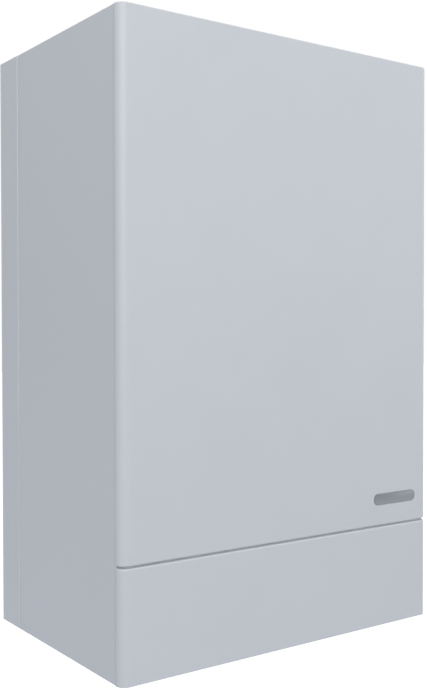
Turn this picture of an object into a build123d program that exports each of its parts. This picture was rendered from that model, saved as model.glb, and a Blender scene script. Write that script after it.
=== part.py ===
from build123d import *
import os

# A wall-hung, room-sealed combi boiler, piece by piece, in millimetres.
# X runs to the right, the front faces -Y and Z is up. The wall is the plane y = 0, and the origin is midway
# between the two fixing holes of the wall bracket. Inside the case, heights are given above its underside.

# ---- driving dimensions: the case ----
CASE_W, CASE_D, CASE_H = 550, 360, 850
HANG_HEIGHT = 770  # the fixing holes above the case's underside
SHEET = 1.0  # front panel, flap, side and top panels
FRAME_SHEET = 1.2  # rear frame, shelves and burner casing
FRAME_D = 60  # the rear frame that shows behind the side panels
SEAM, FRONT_SEAM = 1.0, 0.5  # gaps behind the side panels and behind the front panel
INSET = 1.0  # side and top panels lie this far inside the frame's outline
CORNER_R = 13  # upright edges of the front panel and the flap
ROLL_R, TOP_BEND_R = 3, 2  # bends beside the groove and along the top
RETURN_D = 14  # how far the front panel and the flap reach back
GROOVE_UP, GROOVE = 150, 2  # the dark groove between the front panel and the flap
FLANGE_W = 20  # inward flange behind the front panel
WALL_FLANGE = 14  # rear frame's flange against the wall

HALF = CASE_W / 2
FRONT = -CASE_D
SIDE_OUT = HALF - INSET
SIDE_IN = SIDE_OUT - SHEET
JOGGLE_IN = SIDE_IN - FRAME_SHEET
PANEL_BACK = -FRAME_D - SEAM
RETURN_END = FRONT + RETURN_D
FLANGE_FACE = RETURN_END + FRONT_SEAM
FLANGE_BACK = FLANGE_FACE + SHEET
FLANGE_IN = SIDE_OUT - FLANGE_W
SKIN_IN = FRONT + SHEET  # inner face of the front panel and the flap
PANEL_TOP = CASE_H - INSET
BACK_PLATE = -12  # rear face of the frame's back plate
BACK_FACE = BACK_PLATE - FRAME_SHEET

# ---- driving dimensions: fits ----
RUN_FIT = 0.05  # radial clearance of everything that turns or slides
SOFT_GAP = 0.3  # free space in front of a foam face or a magnet
HEAD_R, HEAD_T = 3.8, 2.2  # heads of the screws that hold sheet parts

# ---- driving dimensions: hinges, control box ----
HINGE_Y, HINGE_UP = FRONT + 4, 4
HINGE_R, KNUCKLE_R, KNUCKLE_W = 1.5, 2.6, 5
ARM_X, ARM_W = HALF - CORNER_R - 1, 3  # the side panels' arms that hold the hinge rod
FASCIA_HALF, FASCIA_FRONT, FASCIA_D = HALF - 25, FRONT + 18, 7
FASCIA_LOW, FASCIA_TOP = 8, 140
TRAY_HALF, TRAY_LOW, TRAY_TOP = FASCIA_HALF - 15, 12, 108
TRAY_BACK = FASCIA_FRONT + 79
MOULD = 2.5  # plastic wall of the control box
BOARD_T, BOARD_BACK = 1.6, FASCIA_FRONT + 18.6
CONTROLS_UP = 72  # height of the row of knobs
KNOB_R, KNOB_LONG, KNOB_SHAFT_R = 18, 14, 3
KNOB_X = {"mode_knob": -95, "heating_knob": -35, "hot_water_knob": 25}
GAUGE_X, GAUGE_R, NEEDLE_PIN_R = -TRAY_HALF + 60, 21, 0.8
RESET_X, RESET_R, RESET_TRAVEL = 75, 6, 2.5

# ---- driving dimensions: pipework ----
TAIL_PITCH, TAIL_Y, TAIL_END = 65, -110, -25
PIPE_BIG_R, PIPE_SMALL_R, PIPE_WALL = 11, 7.5, 1
PIPE_GAP = 1.2  # free space round a pipe where it passes a sheet
TAIL_X = {
    "flow": -2.5 * TAIL_PITCH,
    "hot": -1.5 * TAIL_PITCH,
    "gas": -0.5 * TAIL_PITCH,
    "cold": 0.5 * TAIL_PITCH,
    "return": 1.5 * TAIL_PITCH,
    "relief": 2.5 * TAIL_PITCH,
}
TAIL_R = {"flow": PIPE_BIG_R, "return": PIPE_BIG_R, "gas": PIPE_BIG_R}
VALVED = ("flow", "gas", "cold", "return")
TRAY_UP, SHELF_UP = 80, 360  # bottom tray and partition shelf
VALVE_LOW, VALVE_UP = 22, 42  # lower end and spindle height of the isolating valves
BLOCK_LOW, BLOCK_TOP, BLOCK_BACK, BLOCK_FRONT = 92, 150, -85, -145

# ---- driving dimensions: burner side ----
CHAMBER_HALF, CHAMBER_BACK, CHAMBER_FRONT = 170, -115, FRONT + 30
CHAMBER_LOW, CHAMBER_TOP, EXCHANGER_TOP = 445, 640, 700
BOARD = 12  # insulation boards
FLUE_Y, FLUE_INNER_R, FLUE_OUTER_R = -215, 30, 50
FAN_X, FAN_UP, FAN_R, FAN_HALF_D = -28, 786, 52, 25
FAN_BACK, FAN_FRONT = FLUE_Y + FAN_HALF_D, FLUE_Y - FAN_HALF_D
RISER_X = CHAMBER_HALF + 35  # risers beside the chamber
TUBES, TUBE_BACK, TUBE_FRONT = 5, CHAMBER_BACK - 45, CHAMBER_FRONT + 50
TUBE_Y = [TUBE_BACK + (TUBE_FRONT - TUBE_BACK) * i / (TUBES - 1) for i in range(TUBES)]
TUBE_UP, TUBE_R, STUB_X = 670, 8, CHAMBER_HALF + 12
PUMP_X, PUMP_Y, PUMP_UP = 130, -120, 235
VESSEL_UP, VESSEL_R = 610, 188

os.makedirs("parts", exist_ok=True)


def up(height):
    """The Z of a height above the case's underside."""
    return height - HANG_HEIGHT


def slab(x0, x1, y0, y1, low, high, mode=Mode.ADD):
    """Adds or cuts a block between two X, two Y and two heights."""
    with Locations(((x0 + x1) / 2, (y0 + y1) / 2, up((low + high) / 2))):
        Box(x1 - x0, y1 - y0, high - low, mode=mode)


def rod(start, end, radius, mode=Mode.ADD):
    """Adds or cuts a round bar between two points, each given as x, y and height."""
    a = Vector(start[0], start[1], up(start[2]))
    b = Vector(end[0], end[1], up(end[2]))
    with Locations(Plane(origin=a, z_dir=b - a)):
        Cylinder(radius, (b - a).length, align=(Align.CENTER, Align.CENTER, Align.MIN), mode=mode)


def rod_y(x, height, front, back, radius, mode=Mode.ADD):
    """Adds or cuts a round bar that points from the front to the back."""
    rod((x, front, height), (x, back, height), radius, mode)


def rod_z(x, y, low, high, radius, mode=Mode.ADD):
    """Adds or cuts an upright round bar."""
    rod((x, y, low), (x, y, high), radius, mode)


def hexagon(x, y, low, high, across):
    """Adds an upright hexagon nut."""
    with BuildSketch(Plane.XY.offset(up(low))) as outline:
        with Locations((x, y)):
            RegularPolygon(across / 2, 6, major_radius=False)
    extrude(to_extrude=outline.sketch, amount=high - low)


def tube(route, radius, bend, wall=PIPE_WALL):
    """Adds a bent tube along points given as x, y and height: straight runs joined by tangent arcs."""
    points = [Vector(x, y, up(height)) for x, y, height in route]
    with BuildLine() as run:
        FilletPolyline(*points, radius=bend)
    with BuildSketch(Plane(origin=points[0], z_dir=points[1] - points[0])) as ring:
        Circle(radius)
        Circle(radius - wall, mode=Mode.SUBTRACT)
    sweep(sections=ring.sketch, path=run.wires()[0])


def finish(piece, name):
    """Labels a finished piece and writes its STEP file."""
    piece.part.label = name
    export_step(piece.part, f"parts/{name}.step")


# ======== the case ========

# Wall bracket: a plate with two fixing holes, a shelf and an upturned lip that hooks the case.
BRACKET_T, BRACKET_HALF, SHELF_LIFT, LIP_RISE = 3, 220, 18, 15
BRACKET_DROP, BRACKET_BEND_R, HOLE_X, HOLE_R, HOOK_GAP = 30, 1.2, 110, 4.5, 0.2
LIP_BACK = BACK_FACE - HOOK_GAP
with BuildPart() as wall_bracket:
    shelf = HANG_HEIGHT + SHELF_LIFT
    slab(-BRACKET_HALF, BRACKET_HALF, -BRACKET_T, 0, HANG_HEIGHT - BRACKET_DROP, shelf)
    slab(-BRACKET_HALF, BRACKET_HALF, LIP_BACK - BRACKET_T, 0, shelf - BRACKET_T, shelf)
    slab(-BRACKET_HALF, BRACKET_HALF, LIP_BACK - BRACKET_T, LIP_BACK, shelf - BRACKET_T, shelf + LIP_RISE)
    outer_bends = wall_bracket.edges().filter_by(Axis.X).group_by(Axis.Y)[0]
    fillet(outer_bends, BRACKET_BEND_R)
    for x in (-HOLE_X, HOLE_X):
        rod_y(x, HANG_HEIGHT, -BRACKET_T, 0, HOLE_R, Mode.SUBTRACT)
finish(wall_bracket, "wall_bracket")

# Rear frame: a shallow pan that stands off the wall, with a joggle inside the side panels and a back plate
# whose window hangs on the bracket's shelf.
WINDOW_HALF, WINDOW_TALL = BRACKET_HALF + 10, 62
WINDOW_TOP = HANG_HEIGHT + SHELF_LIFT
FRAME_CORNER_R, FRAME_EDGE_R, JOGGLE_D = 2, 1, 20
with BuildPart() as rear_frame:
    slab(-HALF, HALF, -FRAME_D, 0, 0, CASE_H)
    fillet(rear_frame.edges().filter_by(Axis.Y), FRAME_CORNER_R)
    fillet(rear_frame.faces().sort_by(Axis.Y)[0].edges(), FRAME_EDGE_R)
    room = HALF - FRAME_SHEET
    roof = CASE_H - FRAME_SHEET
    front_web = -FRAME_D + FRAME_SHEET
    slab(-room, room, front_web, -FRAME_SHEET, FRAME_SHEET, roof, Mode.SUBTRACT)
    lean = HALF - JOGGLE_IN
    slab(-JOGGLE_IN, JOGGLE_IN, -FRAME_D, front_web, lean, CASE_H - lean, Mode.SUBTRACT)
    opening = HALF - WALL_FLANGE
    slab(-opening, opening, -FRAME_SHEET, 0, WALL_FLANGE, CASE_H - WALL_FLANGE, Mode.SUBTRACT)
    with BuildSketch(Plane.XZ.offset(FRAME_D)) as joggle:
        with Locations((0, up(CASE_H / 2))):
            Rectangle(2 * SIDE_IN, CASE_H - 2 * (HALF - SIDE_IN))
            Rectangle(2 * JOGGLE_IN, CASE_H - 2 * lean, mode=Mode.SUBTRACT)
    extrude(to_extrude=joggle.sketch, amount=JOGGLE_D)
    slab(-room, room, BACK_FACE, BACK_PLATE, FRAME_SHEET, roof)
    window_low = WINDOW_TOP - WINDOW_TALL
    slab(-WINDOW_HALF, WINDOW_HALF, BACK_FACE, BACK_PLATE, window_low, WINDOW_TOP, Mode.SUBTRACT)
finish(rear_frame, "rear_frame")

# Side panels: a sheet with an inward flange at the front and the bottom, and the arm that holds the hinge
# rod.
PANEL_LOW = 0.5
PANEL_BEND_R = 0.8
FOOT_FLANGE, FOOT_BACK = 9, -100
for side, name in ((-1, "side_panel_left"), (1, "side_panel_right")):
    with BuildPart() as side_panel:
        slab(SIDE_IN, SIDE_OUT, FLANGE_FACE, PANEL_BACK, PANEL_LOW, PANEL_TOP)
        slab(FLANGE_IN, SIDE_OUT, FLANGE_FACE, FLANGE_BACK, PANEL_LOW, PANEL_TOP)
        upright = side_panel.edges().filter_by(Axis.Z)
        front_corner = upright.filter_by_position(Axis.Y, FLANGE_FACE, FLANGE_FACE).sort_by(Axis.X)[-1]
        fillet(front_corner, PANEL_BEND_R)
        foot_front = FLANGE_BACK + FLANGE_W
        slab(SIDE_IN - FOOT_FLANGE, SIDE_IN, foot_front, FOOT_BACK, PANEL_LOW, PANEL_LOW + SHEET)
        slab(ARM_X, ARM_X + ARM_W, HINGE_Y, FLANGE_FACE, HINGE_UP - KNUCKLE_R, HINGE_UP + KNUCKLE_R)
        rod((ARM_X, HINGE_Y, HINGE_UP), (ARM_X + ARM_W, HINGE_Y, HINGE_UP), KNUCKLE_R)
        rod((ARM_X, HINGE_Y, HINGE_UP), (ARM_X + ARM_W, HINGE_Y, HINGE_UP), HINGE_R, Mode.SUBTRACT)
        if side < 0:
            mirror(side_panel.part, about=Plane.YZ, mode=Mode.REPLACE)
    finish(side_panel, name)

# Top panel: lies between the side panels, with a hole for the flue and slots for the front panel's tongues.
TOP_FLANGE, TONGUE_GAP = 34, 1.5
TONGUE_X, TONGUE_HALF, TONGUE_UP, TONGUE_T = HALF - 125, 20, 836, 1.2
with BuildPart() as top_panel:
    slab(-SIDE_IN, SIDE_IN, FLANGE_BACK, PANEL_BACK, PANEL_TOP - SHEET, PANEL_TOP)
    slab(-FLANGE_IN, FLANGE_IN, FLANGE_FACE, FLANGE_BACK, PANEL_TOP - TOP_FLANGE, PANEL_TOP)
    for x in (-TONGUE_X, TONGUE_X):
        reach = TONGUE_HALF + TONGUE_GAP
        low, high = TONGUE_UP - TONGUE_GAP, TONGUE_UP + TONGUE_T + TONGUE_GAP
        slab(x - reach, x + reach, FLANGE_FACE, FLANGE_BACK, low, high, Mode.SUBTRACT)
    rod_z(0, FLUE_Y, PANEL_TOP - SHEET, PANEL_TOP, FLUE_OUTER_R, Mode.SUBTRACT)
finish(top_panel, "top_panel")

# Front crossbar: a channel behind the groove, with two sockets for the front panel's ball studs and a thin
# web that closes the groove from behind.
BAR_LOW, BAR_TOP, BAR_D, BAR_HALF = 153, 170, 18, SIDE_IN - 5
STUD_X, STUD_UP, BALL_R, SOCKET_R, SOCKET_LONG = HALF - 75, 161.5, 3, 6, 6
WEB_BACK_IN, WEB_T = 3, 0.8
with BuildPart() as front_crossbar:
    bar_back = FLANGE_BACK + BAR_D
    slab(-BAR_HALF, BAR_HALF, FLANGE_BACK, bar_back, BAR_LOW, BAR_TOP)
    hollow = FLANGE_BACK + FRAME_SHEET
    channel_low, channel_top = BAR_LOW + FRAME_SHEET, BAR_TOP - FRAME_SHEET
    slab(-BAR_HALF, BAR_HALF, hollow, bar_back, channel_low, channel_top, Mode.SUBTRACT)
    for x in (-STUD_X, STUD_X):
        rod_y(x, STUD_UP, FLANGE_BACK, FLANGE_BACK + SOCKET_LONG, SOCKET_R)
        rod_y(x, STUD_UP, FLANGE_BACK, FLANGE_BACK + SOCKET_LONG, BALL_R + 2 * RUN_FIT, Mode.SUBTRACT)
    web_low = GROOVE_UP - WEB_T / 2
    web_half, web_front = HALF - WEB_BACK_IN, FRONT + WEB_BACK_IN
    slab(-FLANGE_IN, FLANGE_IN, FLANGE_FACE, FLANGE_BACK, web_low, web_low + WEB_T)
    slab(-FLANGE_IN, FLANGE_IN, FLANGE_BACK, hollow, web_low, BAR_LOW)
    with BuildSketch(Plane.XY.offset(up(web_low))) as web:
        with Locations((0, (web_front + FLANGE_FACE) / 2)):
            Rectangle(2 * web_half, FLANGE_FACE - web_front)
        fillet(web.vertices().group_by(Axis.Y)[0], CORNER_R - WEB_BACK_IN)
    extrude(to_extrude=web.sketch, amount=WEB_T)
finish(front_crossbar, "front_crossbar")

# Bottom tray: a shelf over the valves with a hole for every pipe and for the cable gland.
GLAND_X, GLAND_Y, GLAND_R = -TRAY_HALF + 10, -150, 6
TRAY_FRONT, TRAY_LIP = -230, 18
with BuildPart() as bottom_tray:
    slab(-JOGGLE_IN, JOGGLE_IN, TRAY_FRONT, BACK_FACE, TRAY_UP, TRAY_UP + FRAME_SHEET)
    slab(-JOGGLE_IN, JOGGLE_IN, TRAY_FRONT, TRAY_FRONT + FRAME_SHEET, TRAY_UP, TRAY_UP + TRAY_LIP)
    slab(-JOGGLE_IN, JOGGLE_IN, BACK_FACE - FRAME_SHEET, BACK_FACE, TRAY_UP - TRAY_LIP, TRAY_UP)
    for name, x in TAIL_X.items():
        hole_r = TAIL_R.get(name, PIPE_SMALL_R) + PIPE_GAP
        rod_z(x, TAIL_Y, TRAY_UP, TRAY_UP + FRAME_SHEET, hole_r, Mode.SUBTRACT)
    rod_z(GLAND_X, GLAND_Y, TRAY_UP, TRAY_UP + FRAME_SHEET, GLAND_R, Mode.SUBTRACT)
finish(bottom_tray, "bottom_tray")

# Partition shelf: the floor of the sealed air box, with a front flange for the seal and a hole for each
# pipe.
GAS_X, GAS_FRONT_Y, VESSEL_PIPE_Y = -30, CHAMBER_FRONT + 8, -60
RISER_R, HOSE_R, SHELF_FLANGE = 9, 5, 10
SHELF_TOP = SHELF_UP + FRAME_SHEET
with BuildPart() as partition_shelf:
    slab(-JOGGLE_IN, JOGGLE_IN, FLANGE_BACK, BACK_FACE, SHELF_UP, SHELF_TOP)
    slab(-FLANGE_IN, FLANGE_IN, FLANGE_FACE, FLANGE_BACK, SHELF_UP - SHELF_FLANGE, SHELF_UP + SHELF_FLANGE)
    for x, y, radius in (
        (-RISER_X, TUBE_Y[-1], RISER_R),
        (RISER_X, TUBE_Y[0], RISER_R),
        (GAS_X, GAS_FRONT_Y, PIPE_SMALL_R),
        (0, VESSEL_PIPE_Y, HOSE_R),
    ):
        rod_z(x, y, SHELF_UP, SHELF_TOP, radius, Mode.SUBTRACT)
finish(partition_shelf, "partition_shelf")

# Hinge rod: one long steel pin, held by the side panels' arms, that carries the control box and the flap.
ROD_PAST = 2
with BuildPart() as hinge_rod:
    reach = ARM_X + ARM_W + ROD_PAST
    rod((-reach, HINGE_Y, HINGE_UP), (reach, HINGE_Y, HINGE_UP), HINGE_R)
finish(hinge_rod, "hinge_rod")

# Case screws: pan heads that hold the side panels to the frame's joggle, from inside.
SCREW_UP = (120, 420, 720)
with BuildPart() as case_screws:
    for side in (-1, 1):
        for height in SCREW_UP:
            inner = (side * JOGGLE_IN, PANEL_BACK - JOGGLE_D / 2, height)
            rod(inner, (side * (JOGGLE_IN - HEAD_T), inner[1], height), HEAD_R)
finish(case_screws, "case_screws")


# ======== the front panel and the flap ========


def pressed_skin(low, high, low_bend, top_bend, open_below):
    """Adds a sheet skin with rounded upright edges whose returns reach back beside the case."""
    slab(-HALF, HALF, FRONT, RETURN_END, low, high)
    block = BuildPart._get_context()
    front = block.faces().sort_by(Axis.Y)[0]
    fillet(front.edges().filter_by(Axis.Z), CORNER_R)
    face = block.faces().sort_by(Axis.Y)[0]
    fillet(face.edges().filter_by(Axis.X).sort_by(Axis.Z)[-1], top_bend)
    if low_bend:
        face = block.faces().sort_by(Axis.Y)[0]
        fillet(face.edges().filter_by(Axis.X).sort_by(Axis.Z)[0], low_bend)
    gone = [block.faces().sort_by(Axis.Y)[-1]]
    if open_below:
        gone.append(block.faces().sort_by(Axis.Z)[0])
    offset(amount=-SHEET, openings=gone)


# Front panel: the large skin, with a shallow pressed pocket for the badge and two tongues that hang it from
# the top panel.
PANEL_BOTTOM = GROOVE_UP + GROOVE / 2
TONGUE_FOOT, TONGUE_PAST = 10, 10
BADGE_X, BADGE_UP, BADGE_W, BADGE_TALL, BADGE_R, BADGE_T = HALF - 71, 190, 86, 16, 7.5, 1
POCKET_D, POCKET_GAP, POCKET_LIP_R = 1.4, 0.8, 0.5


def pill(width, tall, radius, start, depth, mode=Mode.ADD):
    """Adds or cuts a pill-shaped block round the badge's centre, from a Y towards the back."""
    with BuildSketch(Plane.XZ.offset(-start)) as outline:
        with Locations((BADGE_X, up(BADGE_UP))):
            RectangleRounded(width, tall, radius)
    extrude(to_extrude=outline.sketch, amount=-depth, mode=mode)


with BuildPart() as front_panel:
    pressed_skin(PANEL_BOTTOM, CASE_H, ROLL_R, TOP_BEND_R, False)
    wide, tall = BADGE_W + 2 * POCKET_GAP, BADGE_TALL + 2 * POCKET_GAP
    pocket_r = BADGE_R + POCKET_GAP
    pill(wide + 2 * SHEET, tall + 2 * SHEET, pocket_r + SHEET, SKIN_IN, POCKET_D)
    pill(wide, tall, pocket_r, FRONT, POCKET_D, Mode.SUBTRACT)
    fillet(front_panel.faces().sort_by(Axis.Y)[0].inner_wires()[0].edges(), POCKET_LIP_R)
    for x in (-TONGUE_X, TONGUE_X):
        foot_top = TONGUE_UP + TONGUE_FOOT
        slab(x - TONGUE_HALF, x + TONGUE_HALF, SKIN_IN, SKIN_IN + TONGUE_T, TONGUE_UP, foot_top)
        tip = FLANGE_BACK + TONGUE_PAST
        slab(x - TONGUE_HALF, x + TONGUE_HALF, SKIN_IN, tip, TONGUE_UP, TONGUE_UP + TONGUE_T)
finish(front_panel, "front_panel")

# Foam seal: a ring inside the front panel, just clear of the flanges it seals against.
SEAL_W, SEAL_OUT, SEAL_SHY = 10, HALF - CORNER_R, 1
with BuildPart() as panel_seal:
    seal_face = FLANGE_FACE - SOFT_GAP
    seal_top = PANEL_TOP - TOP_FLANGE + SEAL_W + SEAL_SHY
    seal_low = SHELF_UP - SEAL_W / 2
    slab(-SEAL_OUT, SEAL_OUT, SKIN_IN, seal_face, seal_low, seal_top)
    hole = SEAL_OUT - SEAL_W
    slab(-hole, hole, SKIN_IN, seal_face, seal_low + SEAL_W, seal_top - SEAL_W, Mode.SUBTRACT)
finish(panel_seal, "panel_seal")

# Ball studs: riveted to the inside of the front panel, pushed into the crossbar's sockets.
STUD_FOOT_R, STUD_FOOT_T, STUD_NECK_R = 7, 1.5, 2.2
with BuildPart() as panel_studs:
    for x in (-STUD_X, STUD_X):
        rod_y(x, STUD_UP, SKIN_IN, SKIN_IN + STUD_FOOT_T, STUD_FOOT_R)
        rod_y(x, STUD_UP, SKIN_IN, FLANGE_BACK + BALL_R, STUD_NECK_R)
        with Locations((x, FLANGE_BACK + BALL_R, up(STUD_UP))):
            Sphere(BALL_R)
finish(panel_studs, "panel_studs")

# Badge plate: a bare pill-shaped plate on the floor of its pocket.
with BuildPart() as badge_plate:
    pill(BADGE_W, BADGE_TALL, BADGE_R, FRONT + POCKET_D - BADGE_T, BADGE_T)
    fillet(badge_plate.faces().sort_by(Axis.Y)[0].edges(), BADGE_T / 3)
finish(badge_plate, "badge_plate")

# Lower flap: hinged at its foot, with a rolled top edge that catches the light under the groove.
FLAP_TOP = GROOVE_UP - GROOVE / 2
FLAP_KNUCKLE_X, FLAP_FOOT_R = ARM_X - KNUCKLE_W - 1, 2
with BuildPart() as lower_flap:
    pressed_skin(PANEL_LOW, FLAP_TOP, 0, ROLL_R, True)
    rear_edges = lower_flap.edges().filter_by(Axis.X).filter_by_position(Axis.Y, RETURN_END, RETURN_END)
    fillet(rear_edges.group_by(Axis.Z)[0], FLAP_FOOT_R)
    for x in (-FLAP_KNUCKLE_X - KNUCKLE_W, FLAP_KNUCKLE_X):
        slab(x, x + KNUCKLE_W, SKIN_IN, HINGE_Y, HINGE_UP - KNUCKLE_R, HINGE_UP + KNUCKLE_R)
        rod((x, HINGE_Y, HINGE_UP), (x + KNUCKLE_W, HINGE_Y, HINGE_UP), KNUCKLE_R)
        rod((x, HINGE_Y, HINGE_UP), (x + KNUCKLE_W, HINGE_Y, HINGE_UP), HINGE_R + RUN_FIT, Mode.SUBTRACT)
finish(lower_flap, "lower_flap")


# ======== the control box ========

# Control tray: an open-fronted moulding on two ears that swing on the hinge rod.
EAR_X, EAR_BACK, EAR_FOOT = TRAY_HALF - 9, TRAY_BACK - 37, 30
POST_X, POST_R, POST_IN = (-140, TRAY_HALF - 30), 4, 8
BOARD_LOW, BOARD_TOP = 24, 98
TRAY_CORNER_R = 4
with BuildPart() as control_tray:
    slab(-TRAY_HALF, TRAY_HALF, FASCIA_FRONT + MOULD, TRAY_BACK, TRAY_LOW, TRAY_TOP)
    fillet(control_tray.edges().filter_by(Axis.Y), TRAY_CORNER_R)
    offset(amount=-MOULD, openings=control_tray.faces().sort_by(Axis.Y)[0])
    for x in POST_X:
        for height in (BOARD_LOW + POST_IN, BOARD_TOP - POST_IN):
            rod_y(x, height, BOARD_BACK, TRAY_BACK - MOULD, POST_R)
    for x in (-EAR_X - KNUCKLE_W, EAR_X):
        slab(x, x + KNUCKLE_W, HINGE_Y, EAR_BACK, HINGE_UP - KNUCKLE_R, HINGE_UP + KNUCKLE_R)
        slab(x, x + KNUCKLE_W, EAR_BACK - EAR_FOOT, EAR_BACK, HINGE_UP, TRAY_LOW + MOULD)
        rod((x, HINGE_Y, HINGE_UP), (x + KNUCKLE_W, HINGE_Y, HINGE_UP), KNUCKLE_R)
        rod((x, HINGE_Y, HINGE_UP), (x + KNUCKLE_W, HINGE_Y, HINGE_UP), HINGE_R + RUN_FIT, Mode.SUBTRACT)
finish(control_tray, "control_tray")

# Fascia: the front of the control box, with holes for the knobs, the gauge, the reset button and three
# lamps, and the outline of a bare blanking plate.
LAMP_X, LAMP_UP, LAMP_R = (RESET_X - 10, RESET_X, RESET_X + 10), 100, 2
FASCIA_CORNER_R, FASCIA_EDGE_R, SHAFT_GAP = 6, 1, 0.5
BLANK_X, BLANK_W, BLANK_TALL, BLANK_R = TRAY_HALF - 70, 96, 62, 5
BLANK_LINE_W, BLANK_LINE_D = 2, 0.8
with BuildPart() as control_fascia:
    slab(-FASCIA_HALF, FASCIA_HALF, FASCIA_FRONT, FASCIA_FRONT + FASCIA_D, FASCIA_LOW, FASCIA_TOP)
    fillet(control_fascia.edges().filter_by(Axis.Y), FASCIA_CORNER_R)
    offset(amount=-MOULD, openings=control_fascia.faces().sort_by(Axis.Y)[-1])
    fillet(control_fascia.faces().sort_by(Axis.Y)[0].edges(), FASCIA_EDGE_R)
    for x in KNOB_X.values():
        rod_y(x, CONTROLS_UP, FASCIA_FRONT, FASCIA_FRONT + MOULD, KNOB_SHAFT_R + SHAFT_GAP, Mode.SUBTRACT)
    rod_y(GAUGE_X, CONTROLS_UP, FASCIA_FRONT, FASCIA_FRONT + MOULD, GAUGE_R, Mode.SUBTRACT)
    rod_y(RESET_X, CONTROLS_UP, FASCIA_FRONT, FASCIA_FRONT + MOULD, RESET_R + 2 * RUN_FIT, Mode.SUBTRACT)
    for x in LAMP_X:
        rod_y(x, LAMP_UP, FASCIA_FRONT, FASCIA_FRONT + MOULD, LAMP_R, Mode.SUBTRACT)
    with BuildSketch(Plane.XZ.offset(-FASCIA_FRONT)) as blank:
        with Locations((BLANK_X, up(CONTROLS_UP))):
            RectangleRounded(BLANK_W, BLANK_TALL, BLANK_R)
            inner_w, inner_tall = BLANK_W - 2 * BLANK_LINE_W, BLANK_TALL - 2 * BLANK_LINE_W
            RectangleRounded(inner_w, inner_tall, BLANK_R - 1, mode=Mode.SUBTRACT)
    extrude(to_extrude=blank.sketch, amount=-BLANK_LINE_D, mode=Mode.SUBTRACT)
finish(control_fascia, "control_fascia")

# Circuit board: the board with its transformer, relays, knob potentiometers, reset switch and lamps.
BOARD_FRONT, BOARD_PAST = BOARD_BACK - BOARD_T, 6
POT_HALF, POT_FRONT = 8, FASCIA_FRONT + 5
SWITCH_HALF, SWITCH_T, LAMP_BAR_T = 5, 3, 4
TRAFO_X, TRAFO_LOW, TRAFO_TOP, TRAFO_D = (120, 165), 40, 80, 34
RELAY_X, RELAY_W, RELAY_LOW, RELAY_TOP, RELAY_D = (-110, -85, -60, -35), 18, 60, 84, 16
CAPACITOR_X, CAPACITOR_UP, CAPACITOR_R, CAPACITOR_D = (0, 22, 44), 70, 8, 24
PLUGS_X, PLUGS_LOW, PLUGS_TOP, PLUGS_D = (-110, 60), 30, 42, 12
with BuildPart() as circuit_board:
    slab(POST_X[0] - BOARD_PAST, POST_X[1] + BOARD_PAST, BOARD_FRONT, BOARD_BACK, BOARD_LOW, BOARD_TOP)
    for x in KNOB_X.values():
        pot_low, pot_top = CONTROLS_UP - POT_HALF, CONTROLS_UP + POT_HALF
        slab(x - POT_HALF, x + POT_HALF, POT_FRONT, BOARD_FRONT, pot_low, pot_top)
        rod_y(x, CONTROLS_UP, POT_FRONT, BOARD_FRONT, KNOB_SHAFT_R + RUN_FIT, Mode.SUBTRACT)
    switch_low, switch_top = CONTROLS_UP - SWITCH_HALF, CONTROLS_UP + SWITCH_HALF
    switch_front = BOARD_FRONT - SWITCH_T
    slab(RESET_X - SWITCH_HALF, RESET_X + SWITCH_HALF, switch_front, BOARD_FRONT, switch_low, switch_top)
    lamp_left, lamp_right = LAMP_X[0] - 2 * LAMP_R, LAMP_X[-1] + 2 * LAMP_R
    lamp_front, lamp_top = BOARD_FRONT - LAMP_BAR_T, LAMP_UP + LAMP_R + SHAFT_GAP
    slab(lamp_left, lamp_right, lamp_front, BOARD_BACK, BOARD_TOP - LAMP_BAR_T, lamp_top)
    for x in LAMP_X:
        rod_y(x, LAMP_UP, FASCIA_FRONT, BOARD_FRONT, LAMP_R)
    slab(*TRAFO_X, BOARD_BACK, BOARD_BACK + TRAFO_D, TRAFO_LOW, TRAFO_TOP)
    for x in RELAY_X:
        slab(x, x + RELAY_W, BOARD_BACK, BOARD_BACK + RELAY_D, RELAY_LOW, RELAY_TOP)
    for x in CAPACITOR_X:
        rod_y(x, CAPACITOR_UP, BOARD_BACK, BOARD_BACK + CAPACITOR_D, CAPACITOR_R)
    slab(*PLUGS_X, BOARD_BACK, BOARD_BACK + PLUGS_D, PLUGS_LOW, PLUGS_TOP)
finish(circuit_board, "circuit_board")

# Pressure gauge: a cup in the fascia with a rim, a dial face and a spindle; its lens and needle are
# separate.
CUP_R, RIM_R, RIM_T, RIM_EDGE_R = GAUGE_R - 1.6, GAUGE_R + 2, 1.6, 0.7
DIAL_FACE, PIN_RISE = FASCIA_FRONT + 4.5, 3.2
GAUGE_D, STEM_R, STEM_LONG = 26, 5, 14
with BuildPart() as pressure_gauge:
    gauge_back = FASCIA_FRONT + GAUGE_D
    rod_y(GAUGE_X, CONTROLS_UP, FASCIA_FRONT, gauge_back, GAUGE_R)
    rod_y(GAUGE_X, CONTROLS_UP, FASCIA_FRONT - RIM_T, FASCIA_FRONT, RIM_R)
    fillet(pressure_gauge.faces().sort_by(Axis.Y)[0].edges(), RIM_EDGE_R)
    rod_y(GAUGE_X, CONTROLS_UP, FASCIA_FRONT - RIM_T, DIAL_FACE, CUP_R, Mode.SUBTRACT)
    rod_y(GAUGE_X, CONTROLS_UP, DIAL_FACE - PIN_RISE, DIAL_FACE, NEEDLE_PIN_R)
    rod_y(GAUGE_X, CONTROLS_UP, gauge_back, gauge_back + STEM_LONG, STEM_R)
finish(pressure_gauge, "pressure_gauge")

# Gauge lens: a clear disc in the rim.
LENS_T = 1.2
with BuildPart() as gauge_lens:
    rod_y(GAUGE_X, CONTROLS_UP, FASCIA_FRONT - LENS_T, FASCIA_FRONT, CUP_R)
finish(gauge_lens, "gauge_lens")

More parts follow.
